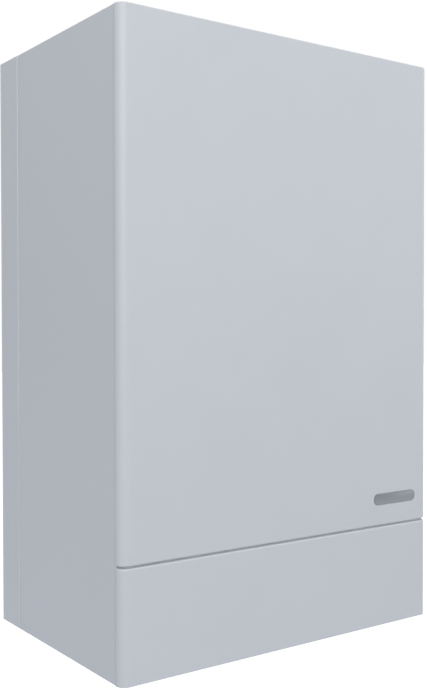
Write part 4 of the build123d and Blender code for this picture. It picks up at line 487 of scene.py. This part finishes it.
def dress(node, finish, zones=()):
    """Gives a CAD node its finish.

    Each zone is another finish for the faces between two corners, in millimetres.
    """
    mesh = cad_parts[node].data
    mesh.materials.clear()
    mesh.materials.append(finish)
    for face in mesh.polygons:
        face.material_index = 0
    for index, (other, low, high) in enumerate(zones, 1):
        mesh.materials.append(other)
        low, high = at(*low), at(*high)
        for face in mesh.polygons:
            if all(low[i] <= face.center[i] <= high[i] for i in range(3)):
                face.material_index = index


# ---------------------------------------------------------------- the case


def quarter(steps):
    """Angles from nothing to a right angle."""
    return [pi / 2 * i / steps for i in range(steps + 1)]


def shell_rings(low, high, low_bend, top_bend):
    """Heights and insets of a pressed shell's rings: a bend or an edge at the foot, and a bend at the top."""
    turns = quarter(6)
    foot = [(low, 0)]
    if low_bend:
        foot = [(low + low_bend * (1 - cos(t)), low_bend * (1 - sin(t))) for t in turns]
    return foot + [(high - top_bend * (1 - cos(t)), top_bend * (1 - sin(t))) for t in reversed(turns)]


def pressed_shell(bm, low, high, low_bend, top_bend, shape, closed_foot):
    """Adds a front shell with rounded upright edges and returns beside the case, open at the back.

    Returns the corners of its flat front, in order.
    """
    half, back = CASE_HIGH.x, FRONT + shape.panel_return
    rings = []
    for height, inset in shell_rings(low, high, low_bend, top_bend):
        side, face = half - inset, FRONT + inset
        radius = max(shape.corner - inset, 0.001)
        path = [Vector((-side, back, height))]
        for sign, turns in ((-1, quarter(10)), (1, reversed(quarter(10)))):
            for turn in turns:
                x = side - radius + radius * cos(turn)
                path.append(Vector((sign * x, face + radius - radius * sin(turn), height)))
        path.append(Vector((side, back, height)))
        rings.append([bm.verts.new(p) for p in path])
    for lower, upper in zip(rings, rings[1:]):
        for i in range(len(lower) - 1):
            bm.faces.new((lower[i], lower[i + 1], upper[i + 1], upper[i]))
    bm.faces.new(rings[-1])
    if closed_foot:
        bm.faces.new(rings[0])
    tallest = max(range(len(rings) - 1), key=lambda i: rings[i + 1][0].co.z - rings[i][0].co.z)
    lower, upper = rings[tallest], rings[tallest + 1]
    left = len(lower) // 2 - 1
    return lower[left], lower[left + 1], upper[left + 1], upper[left]


# Metres: half the straight run at a pill's ends, and the badge pocket's clearance, lip and bend at its floor.
PILL_FLAT, POCKET_GAP, POCKET_LIP, POCKET_BEND = 0.0005, 0.0008, 0.0005, 0.0003


def pill_ring(bm, low, high, grow, y):
    """Adds the vertices of a pill outline round a box's front, grown by a distance."""
    radius = (high.z - low.z) / 2 - PILL_FLAT
    ring = []
    for sign_x, sign_z, start in ((1, 1, 0), (1, -1, 90), (-1, -1, 180), (-1, 1, 270)):
        x = (high.x if sign_x > 0 else low.x) - sign_x * radius
        z = (high.z if sign_z > 0 else low.z) - sign_z * radius
        for turn in quarter(8):
            angle = radians(start) + turn
            ring.append(bm.verts.new((x + (radius + grow) * sin(angle), y, z + (radius + grow) * cos(angle))))
    return ring


def bridge(bm, rings):
    """Joins neighbouring closed rings with faces."""
    for lower, upper in zip(rings, rings[1:]):
        for i in range(len(lower)):
            j = (i + 1) % len(lower)
            bm.faces.new((lower[i], lower[j], upper[j], upper[i]))


def press_pocket(bm, corners, depth):
    """Opens the flat front between its corners round the badge and presses a pocket with a rolled lip."""
    low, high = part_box("badge_plate")
    gap, lip = POCKET_GAP, POCKET_LIP
    face = bm.faces.get(corners)
    bm.faces.remove(face)
    turns = quarter(4)
    rings = [pill_ring(bm, low, high, gap + lip * (1 - sin(t)), FRONT + lip * (1 - cos(t))) for t in turns]
    rings.append(pill_ring(bm, low, high, gap, FRONT + depth - POCKET_BEND))
    rings.append(pill_ring(bm, low, high, gap - POCKET_BEND, FRONT + depth))
    bridge(bm, rings)
    bm.faces.new(rings[-1])
    mouth = rings[0]
    edges = [bm.edges.get((mouth[i - 1], mouth[i])) for i in range(len(mouth))]
    edges += [bm.edges.get((corners[i - 1], corners[i])) for i in range(4)]
    bmesh.ops.triangle_fill(bm, edges=edges, use_beauty=True)


def thicken(piece, sheet):
    """Gives a shell its sheet thickness inwards, and keeps its flats evenly shaded beside the bends."""
    solid = piece.modifiers.new("sheet", "SOLIDIFY")
    solid.thickness = sheet
    solid.offset = -1
    solid.use_even_offset = True
    normals = piece.modifiers.new("flats", "WEIGHTED_NORMAL")
    normals.keep_sharp = True


# Millimetres. Each tongue that hangs the front panel: X, width, height above the underside, thickness, foot.
TONGUE = (-170, 40, 836, 1.2, 10)
# Each knuckle of the flap: X, width, the hinge's Y and height, radius, and how far it bites into the sheet.
KNUCKLE = (255, 5, -356, 4, 2.6, 0.2)


class BOILER_OT_case(bpy.types.Operator):
    """Models the front panel and the flap, and finishes the case's sheets and their fasteners."""

    bl_idname = "boiler.case"
    bl_label = "Case"

    def execute(self, context):
        shape, colours = context.scene.boiler_shape, context.scene.boiler_colours
        enamel, zinc, steel = powder_coat(colours.enamel), galvanised_sheet(), bright_steel()
        groove_low = UNDERSIDE + shape.groove_up - shape.groove / 2

        bm = bmesh.new()
        panel_low = groove_low + shape.groove
        flat = pressed_shell(bm, panel_low, CASE_HIGH.z, shape.roll, shape.top_bend, shape, True)
        press_pocket(bm, flat, shape.pocket)
        panel = publish(bm, "front_panel_sheet", [enamel], "front_panel", "front_panel", smooth=25)
        thicken(panel, shape.sheet)

        bm = bmesh.new()
        skin, tip = (FRONT + shape.sheet) / MM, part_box("front_panel")[1].y / MM
        low_x, wide, up, thick, foot = TONGUE
        for x in (low_x, -low_x - wide):
            block(bm, at(x, skin, up), at(x + wide, skin + thick, up + foot), edge=0.0002)
            block(bm, at(x, skin + thick / 2, up), at(x + wide, tip, up + thick), edge=0.0004)
        tongues = publish(bm, "front_panel_tongues", [zinc], "front_panel")

        bm = bmesh.new()
        pressed_shell(bm, UNDERSIDE + shape.foot_gap, groove_low, 0, shape.roll, shape, False)
        flap = publish(bm, "flap_sheet", [enamel], "flap", "lower_flap", smooth=25)
        thicken(flap, shape.sheet)

        bm = bmesh.new()
        low_x, wide, hinge_y, hinge_up, radius, bite = KNUCKLE
        sideways = Matrix.Rotation(radians(90), 3, "Z")
        profile = [(radius * MM, -wide / 2 * MM, False), (radius * MM, wide / 2 * MM, False)]
        for x in (-low_x - wide, low_x):
            low, high = at(x, skin - bite, hinge_up - radius), at(x + wide, hinge_y, hinge_up + radius)
            block(bm, low, high, edge=0)
            lathe(bm, profile, at(x + wide / 2, hinge_y, hinge_up), 24, facing=sideways)
        knuckles = publish(bm, "flap_knuckles", [zinc], "flap")

        for node in ("rear_frame", "side_panel_left", "side_panel_right", "top_panel"):
            dress(node, enamel)
        for node in ("wall_bracket", "front_crossbar", "bottom_tray", "partition_shelf"):
            dress(node, zinc)
        for node in ("hinge_rod", "case_screws", "panel_studs"):
            dress(node, steel)
        dress("panel_seal", foam_rubber())
        return {"FINISHED"}


class BOILER_OT_badge(bpy.types.Operator):
    """Models the bare pill-shaped plate that lies in the front panel's pocket."""

    bl_idname = "boiler.badge"
    bl_label = "Badge plate"

    def execute(self, context):
        plate = satin_plate(context.scene.boiler_colours.badge)
        low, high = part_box("badge_plate")
        bm = bmesh.new()
        edge, near = 0.0003, 0.0001  # the softened edge and its middle
        rings = [pill_ring(bm, low, high, 0, high.y), pill_ring(bm, low, high, 0, low.y + edge)]
        rings.append(pill_ring(bm, low, high, -near, low.y + near))
        rings.append(pill_ring(bm, low, high, -edge, low.y))
        bridge(bm, rings)
        bm.faces.new(rings[0])
        bm.faces.new(rings[-1])
        piece = publish(bm, "badge_plate_bare", [plate], "front_panel", "badge_plate")
        return {"FINISHED"}


# ---------------------------------------------------------------- the control box

# Millimetres: the row of knobs above the underside, the fascia's front, and the gauge's X and dial card.
CONTROLS_UP, FASCIA_FRONT = 72, -342
KNOBS = {"mode_knob": -95, "heating_knob": -35, "hot_water_knob": 25}
GAUGE_X, CARD_FRONT = -175, -337.5
# A knob's section in millimetres: radius, distance from the skirt's back, and whether the grip flutes cut it.
KNOB_SECTION = (
    (17.0, 0.0, False),
    (18.0, 0.6, False),
    (18.0, 3.0, False),
    (17.4, 3.9, False),
    (14.8, 4.3, False),
    (14.2, 5.0, True),
    (13.4, 12.0, True),
    (12.8, 12.8, False),
    (11.8, 13.2, False),
    (9.0, 12.8, False),
    (4.0, 12.5, False),
)
SHAFT_R, SHAFT_LONG, SKIRT_GAP, FLUTE_DEEP = 3, 14.5, 0.5, 1.1
# The pointer lines on a knob, in millimetres: front, back, inner end, outer end and softened edge of each.
POINTERS, POINTER_HALF = ((13.3, 11.9, 2, 11.8, 0.2), (4.1, 3, 14.5, 17.2, 0.1)), 0.7
# Millimetres from a knob's axis: the ticks' ends, the scale line's edges, the numbers and each symbol.
TICKS, SCALE_LINE, NUMBERS_OUT = (19.5, 21.5), (22.5, 22.9), 26.2
MODE_OUT, RADIATOR_OUT, DROP_OUT = 27, 36, 35
KNOB_SWEEP, TOP_NUMBER = 135, 6  # degrees each way that a temperature knob turns, and its last number
# Millimetres from the gauge's axis: the small and large ticks' ends, the green band's edges and the numbers.
SMALL_TICKS, LARGE_TICKS, GREEN_BAND, DIAL_OUT = (15.8, 17.8), (15.0, 18.0), (18.3, 19.0), 12.2


class BOILER_OT_controls(bpy.types.Operator):
    """Models the knobs, the gauge's dial and the fascia's printing, and finishes the control box."""

    bl_idname = "boiler.controls"
    bl_label = "Control box"

    def execute(self, context):
        colours, shape = context.scene.boiler_colours, context.scene.boiler_shape
        black = moulded_abs("black_abs", linear("2A2C30"))
        dark = moulded_abs("dark_grey_abs", linear("3B3F45"), 0.7)
        red = moulded_abs("red_abs", linear("B3211C"), 0.8)
        white = dial_card()
        ink = print_ink()
        green_ink = surface("green_scale_ink", linear("3E9B4F"), linear("2F7F40"), 2, 0.002, rough=0.5)

        dress("control_tray", black)
        dress("control_fascia", moulded_abs("grey_abs", colours.fascia))
        dress("flap_magnets", ferrite_magnet())
        transformer = (black, (-160, -323.3, 20), (230, -260, 110))
        heat_sink = (cast_aluminium(), (-8, -323.3, 60), (54, -295, 80))
        shafts = (black, (-110, -340, 60), (40, -325.3, 84))
        dress("circuit_board", solder_mask(), (transformer, heat_sink, shafts))
        card = (white, (-195, -338, 52), (-155, -337, 92))
        dress("pressure_gauge", black, [card])
        dress("gauge_lens", clear_glass())
        dress("gauge_needle", red)
        dress("reset_button", red)

        for name, x in KNOBS.items():
            self.knob(name, x, dark, white, shape.flutes)
        self.printing(ink)
        self.knob_figures(ink)
        self.dial(ink, green_ink)
        return {"FINISHED"}

    def knob(self, name, x, body_finish, line_finish, flutes):
        """A skirted knob with a fluted grip, a dished top and a white pointer line on its top and skirt."""
        centre = at(x, FASCIA_FRONT - SKIRT_GAP, CONTROLS_UP)
        profile = [(radius * MM, forward * MM, fluted) for radius, forward, fluted in KNOB_SECTION]
        bm = bmesh.new()
        lathe(bm, profile, centre, flutes * 6, flutes, FLUTE_DEEP * MM)
        lathe(bm, [(SHAFT_R * MM, -SHAFT_LONG * MM, False), (SHAFT_R * MM, 0.0, False)], centre, 24)
        for front, back, low, high, edge in POINTERS:
            near = centre + Vector((-POINTER_HALF, -front, low)) * MM
            far = centre + Vector((POINTER_HALF, -back, high)) * MM
            block(bm, near, far, edge * MM, 1)
        piece = publish(bm, f"{name}_moulding", [body_finish, line_finish], name, name, smooth=30)

    def printing(self, ink):
        """The scales round the knobs and their plain symbols."""
        front = FASCIA_FRONT * MM
        start, end = (distance * MM for distance in TICKS)
        inner, outer = (distance * MM for distance in SCALE_LINE)
        bm = bmesh.new()
        for name, x in KNOBS.items():
            centre = at(x, 0, CONTROLS_UP)
            if name == "mode_knob":
                ring_ticks(bm, centre, front, start, end, (-90, 0, 90), 0.5 * MM)
                continue
            ring_ticks(bm, centre, front, start, end, range(-KNOB_SWEEP, KNOB_SWEEP + 1, 30), 0.5 * MM)
            arc_band(bm, centre, front, inner, outer, -KNOB_SWEEP, KNOB_SWEEP)
        self.radiator(bm, at(KNOBS["heating_knob"], 0, CONTROLS_UP + RADIATOR_OUT), front)
        self.drop(bm, at(KNOBS["hot_water_knob"], 0, CONTROLS_UP + DROP_OUT), front)
        mode = KNOBS["mode_knob"]
        self.snowflake(bm, at(mode + MODE_OUT, 0, CONTROLS_UP), front)
        self.sun(bm, at(mode, 0, CONTROLS_UP + MODE_OUT), front)
        piece = publish(bm, "fascia_printing", [ink], "control_box")

    def radiator(self, bm, centre, front):
        """Five upright bars joined by two rails."""
        for i in range(-2, 3):
            flat_shape(bm, rectangle(centre.x + i * 2.2 * MM, centre.z, 1.4 * MM, 7 * MM), front)
        for rise in (-2.1 * MM, 2.1 * MM):
            flat_shape(bm, rectangle(centre.x, centre.z + rise, 10 * MM, 0.6 * MM), front - INK)

    def drop(self, bm, centre, front):
        """A water drop: a point over a round belly."""
        radius, turns = 3 * MM, [radians(30 - 20 * i) for i in range(13)]
        belly = [(centre.x + radius * cos(t), centre.z - 1 * MM + radius * sin(t)) for t in turns]
        flat_shape(bm, [(centre.x, centre.z + 5.2 * MM), *belly], front)

    def snowflake(self, bm, centre, front):
        """Three crossed bars, each printed over the last."""
        for layer, turn in enumerate((0, 60, 120)):
            ring_ticks(bm, centre, front - layer * INK, -3.2 * MM, 3.2 * MM, (turn,), 0.6 * MM)

    def sun(self, bm, centre, front):
        """A disc with eight rays."""
        radius, turns = 1.6 * MM, [radians(15 * i) for i in range(24)]
        flat_shape(bm, [(centre.x + radius * sin(t), centre.z + radius * cos(t)) for t in turns], front)
        ring_ticks(bm, centre, front, 2.3 * MM, 3.6 * MM, range(0, 360, 45), 0.5 * MM)

    def knob_figures(self, ink):
        """Plain numbers: 0 for off beside the mode knob, and 1 upwards round the other two."""
        front = FASCIA_FRONT * MM
        off = at(KNOBS["mode_knob"] - MODE_OUT, 0, CONTROLS_UP)
        step = 2 * KNOB_SWEEP / (TOP_NUMBER - 1)
        figure("0", off.x, front, off.z, 6.2 * MM, ink, "control_box")
        for name in ("heating_knob", "hot_water_knob"):
            for number in range(1, TOP_NUMBER + 1):
                turn = radians(step * (number - 1) - KNOB_SWEEP)
                across, up = NUMBERS_OUT * sin(turn), NUMBERS_OUT * cos(turn)
                spot = at(KNOBS[name] + across, 0, CONTROLS_UP + up)
                figure(str(number), spot.x, front, spot.z, 5 * MM, ink, "control_box")

    def dial(self, ink, green_ink):
        """A white dial with a scale from 0, straight down, clockwise to 4, and a green working range."""
        centre, front = at(GAUGE_X, 0, CONTROLS_UP), CARD_FRONT * MM
        bm = bmesh.new()
        turns = [180 + 13.5 * i for i in range(21)]
        for ends, shown, width in ((SMALL_TICKS, turns, 0.35), (LARGE_TICKS, turns[::5], 0.6)):
            ring_ticks(bm, centre, front, ends[0] * MM, ends[1] * MM, shown, width * MM)
        inner, outer = (distance * MM for distance in GREEN_BAND)
        arc_band(bm, centre, front, inner, outer, turns[5], turns[10], 1)
        piece = publish(bm, "gauge_scale", [ink, green_ink], "control_box")
        for number, turn in enumerate(turns[::5]):
            across, up = DIAL_OUT * sin(radians(turn)), DIAL_OUT * cos(radians(turn))
            spot = at(GAUGE_X + across, 0, CONTROLS_UP + up)
            figure(str(number), spot.x, front, spot.z, 4.2 * MM, ink, "control_box")


# ---------------------------------------------------------------- the inside


class BOILER_OT_burner_side(bpy.types.Operator):
    """Finishes the burner, its chamber, the heat exchanger, the fan, the flue and the expansion vessel."""

    bl_idname = "boiler.burner_side"
    bl_label = "Burner side"

    def execute(self, context):
        zinc, steel, aluminium = galvanised_sheet(), bright_steel(), cast_aluminium()
        black = moulded_abs("black_abs_inside", linear("2A2C30"))
        for node in ("combustion_chamber", "flue_hood", "fan_impeller"):
            dress(node, zinc)
        screws = [(steel, (x, -334, 440), (x + 12, -331.3, 645)) for x in (-180, 168)]
        dress("chamber_door", zinc, screws)
        dress("sight_glass", clear_glass())
        dress("chamber_insulation", fibre_board())
        dress("burner", pressed_stainless())
        nozzles = (cast_brass(), (-150, -315, 405), (150, -299, 417))
        dress("gas_manifold", aluminium, [nozzles])
        tips = (steel, (-40, -307, 440), (110, -250, 462))
        dress("electrodes", glazed_porcelain(), [tips])
        dress("heat_exchanger", copper_tube())
        dress("fan_housing", aluminium)
        dress("fan_motor", dark_enamel())
        dress("flue_collar", aluminium)
        dress("inner_flue_duct", aluminium)
        dress("air_pressure_switch", black)
        dress("expansion_vessel", stoved_paint(context.scene.boiler_colours.vessel))
        return {"FINISHED"}


class BOILER_OT_water_side(bpy.types.Operator):
    """Finishes the pump, the blocks, the plate heat exchanger, the gas valve, the valves and the pipes."""

    bl_idname = "boiler.water_side"
    bl_label = "Water and gas side"

    def execute(self, context):
        brass, steel, copper = cast_brass(), bright_steel(), copper_tube()
        black = moulded_abs("black_glass_filled_nylon", linear("26282B"))
        red = moulded_abs("red_lever_nylon", linear("B3211C"))
        yellow = moulded_abs("yellow_lever_nylon", linear("D9A514"))
        blue = moulded_abs("blue_lever_nylon", linear("1E4F9A"))
        inlet, outlet = (brass, (90, -150, 150), (170, -90, 178)), (brass, (110, -140, 285), (150, -100, 305))
        dress("pump_body", dark_enamel(), (inlet, outlet))
        dress("pump_rotor", steel)
        for node in ("air_vent", "flow_block", "return_block", "valve_bodies"):
            dress(node, brass)
        dress("plate_exchanger", pressed_stainless())
        coils = (black, (-75, -200, 215), (12, -146.5, 256))
        dress("gas_valve", cast_aluminium(), [coils])
        dress("copper_pipes", copper)
        dress("diverter_spindle", steel)
        for node in ("diverter_motor", "cable_gland", "filling_knob"):
            dress(node, black)
        dress("relief_knob", red)
        dress("flow_valve_handle", red)
        dress("return_valve_handle", red)
        dress("gas_valve_handle", yellow)
        dress("cold_valve_handle", blue)
        return {"FINISHED"}


# ---------------------------------------------------------------- the studio

# Metres: how far the floor lies below the case and reaches each way, and the side of each lamp.
FLOOR_DROP, FLOOR_REACH, LAMP_SIDE = 1.1, 30, 2.6


class BOILER_OT_studio(bpy.types.Operator):
    """Sets the pale floor, the white surroundings, three soft lamps and the camera."""

    bl_idname = "boiler.studio"
    bl_label = "Studio"

    def execute(self, context):
        scene, studio = context.scene, context.scene.boiler_studio
        scene.view_settings.view_transform = "Standard"
        self.surroundings(scene, studio.sky)
        self.floor()
        self.lamp("key_lamp", at(-1700, -2500, 1900), studio.key, (1.0, 0.97, 0.87))
        self.lamp("fill_lamp", at(2600, -1500, 1300), studio.fill, (1.0, 1.0, 1.0))
        self.lamp("top_lamp", at(0, -500, 3300), studio.top, (1.0, 1.0, 1.0))
        lens = bpy.data.cameras.new("camera")
        lens.sensor_fit = "VERTICAL"
        lens.sensor_height = 36
        lens.lens = studio.lens_px / HEIGHT_PX * lens.sensor_height
        lens.clip_end = 100
        camera = bpy.data.objects.new("camera", lens)
        camera.location = studio.camera
        camera.rotation_euler = Euler(studio.aim)
        scene.collection.objects.link(camera)
        scene.camera = camera
        return {"FINISHED"}

    def seen_white(self, tree):
        """1 for rays that see the surroundings directly, in a reflection or through glass."""
        path = add_node(tree, "ShaderNodeLightPath", {}, {})
        direct = add_node(
            tree, "ShaderNodeMath", {"operation": "ADD"},
            {0: path.outputs["Is Camera Ray"], 1: path.outputs["Is Glossy Ray"]},
        )
        return add_node(
            tree, "ShaderNodeMath", {"operation": "ADD", "use_clamp": True},
            {0: direct.outputs[0], 1: path.outputs["Is Transmission Ray"]},
        ).outputs[0]

    def surroundings(self, scene, sky):
        """A white surround for the eye that lights the object only softly."""
        world = bpy.data.worlds.new("studio")
        world.use_nodes = True
        tree = world.node_tree
        tree.nodes.clear()
        soft = add_node(tree, "ShaderNodeBackground", {}, {"Color": (0.93, 1.0, 1.2, 1), "Strength": sky})
        white = add_node(tree, "ShaderNodeBackground", {}, {"Color": (1, 1, 1, 1), "Strength": 1.0})
        seen = self.seen_white(tree)
        both = add_node(tree, "ShaderNodeMixShader", {}, {0: seen, 1: soft.outputs[0], 2: white.outputs[0]})
        add_node(tree, "ShaderNodeOutputWorld", {}, {"Surface": both.outputs[0]})
        scene.world = world

    def floor(self):
        """A pale matt floor well below the hung boiler."""
        made = bpy.data.materials.new("pale_studio_floor")
        made.use_nodes = True
        tree = made.node_tree
        tree.nodes.clear()
        place = add_node(tree, "ShaderNodeTexCoord", {}, {})
        grain = add_node(tree, "ShaderNodeTexNoise", {}, {"Vector": place.outputs["Object"], "Scale": 3.0})
        tone = add_node(
            tree, "ShaderNodeMix", {"data_type": "RGBA"},
            {0: grain.outputs["Fac"], 6: (*linear("F2F2F2"), 1), 7: (*linear("F6F6F6"), 1)},
        )
        matt = add_node(tree, "ShaderNodeBsdfDiffuse", {}, {"Color": tone.outputs[2]})
        seen = self.seen_white(tree)
        glow = add_node(tree, "ShaderNodeEmission", {}, {"Color": (1, 1, 1, 1), "Strength": seen})
        both = add_node(tree, "ShaderNodeAddShader", {}, {0: matt.outputs[0], 1: glow.outputs[0]})
        add_node(tree, "ShaderNodeOutputMaterial", {}, {"Surface": both.outputs[0]})
        bm = bmesh.new()
        corners = ((-1, -1), (1, -1), (1, 1), (-1, 1))
        height = UNDERSIDE - FLOOR_DROP
        bm.faces.new([bm.verts.new((x * FLOOR_REACH, y * FLOOR_REACH, height)) for x, y in corners])
        mesh = bpy.data.meshes.new("floor")
        bm.to_mesh(mesh)
        bm.free()
        mesh.materials.append(made)
        floor = bpy.data.objects.new("floor", mesh)
        bpy.context.scene.collection.objects.link(floor)

    def lamp(self, name, place, watts, colour):
        """A square soft lamp that faces the middle of the case."""
        target = at(0, -180, 420)
        light = bpy.data.lights.new(name, "AREA")
        light.size = LAMP_SIDE
        light.energy = watts
        light.color = colour
        lamp = bpy.data.objects.new(name, light)
        lamp.location = place
        lamp.rotation_euler = (target - place).to_track_quat("-Z", "Y").to_euler()
        bpy.context.scene.collection.objects.link(lamp)


# ---------------------------------------------------------------- add-on

OPERATORS = (
    BOILER_OT_case,
    BOILER_OT_badge,
    BOILER_OT_controls,
    BOILER_OT_burner_side,
    BOILER_OT_water_side,
    BOILER_OT_studio,
)
GROUPS = {"boiler_shape": BoilerShape, "boiler_colours": BoilerColours, "boiler_studio": BoilerStudio}


class BOILER_PT_panel(bpy.types.Panel):
    """Lists the boiler's operators and settings in the sidebar."""

    bl_idname = "BOILER_PT_panel"
    bl_label = "Combi boiler"
    bl_space_type = "VIEW_3D"
    bl_region_type = "UI"
    bl_category = "Boiler"

    def draw(self, context):
        for operator in OPERATORS:
            self.layout.operator(operator.bl_idname)
        for name, group in GROUPS.items():
            box = self.layout.box()
            for prop in group.__annotations__:
                box.prop(getattr(context.scene, name), prop)


def register():
    for group in GROUPS.values():
        bpy.utils.register_class(group)
    for operator in OPERATORS:
        bpy.utils.register_class(operator)
    bpy.utils.register_class(BOILER_PT_panel)
    for name, group in GROUPS.items():
        setattr(bpy.types.Scene, name, bpy.props.PointerProperty(type=group))


def unregister():
    for name in GROUPS:
        delattr(bpy.types.Scene, name)
    for made in (BOILER_PT_panel, *reversed(OPERATORS), *reversed(list(GROUPS.values()))):
        bpy.utils.unregister_class(made)


def main():
    """Registers the add-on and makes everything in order."""
    register()
    bpy.ops.boiler.case()
    bpy.ops.boiler.badge()
    bpy.ops.boiler.controls()
    bpy.ops.boiler.burner_side()
    bpy.ops.boiler.water_side()
    bpy.ops.boiler.studio()


if __name__ == "__main__":
    main()
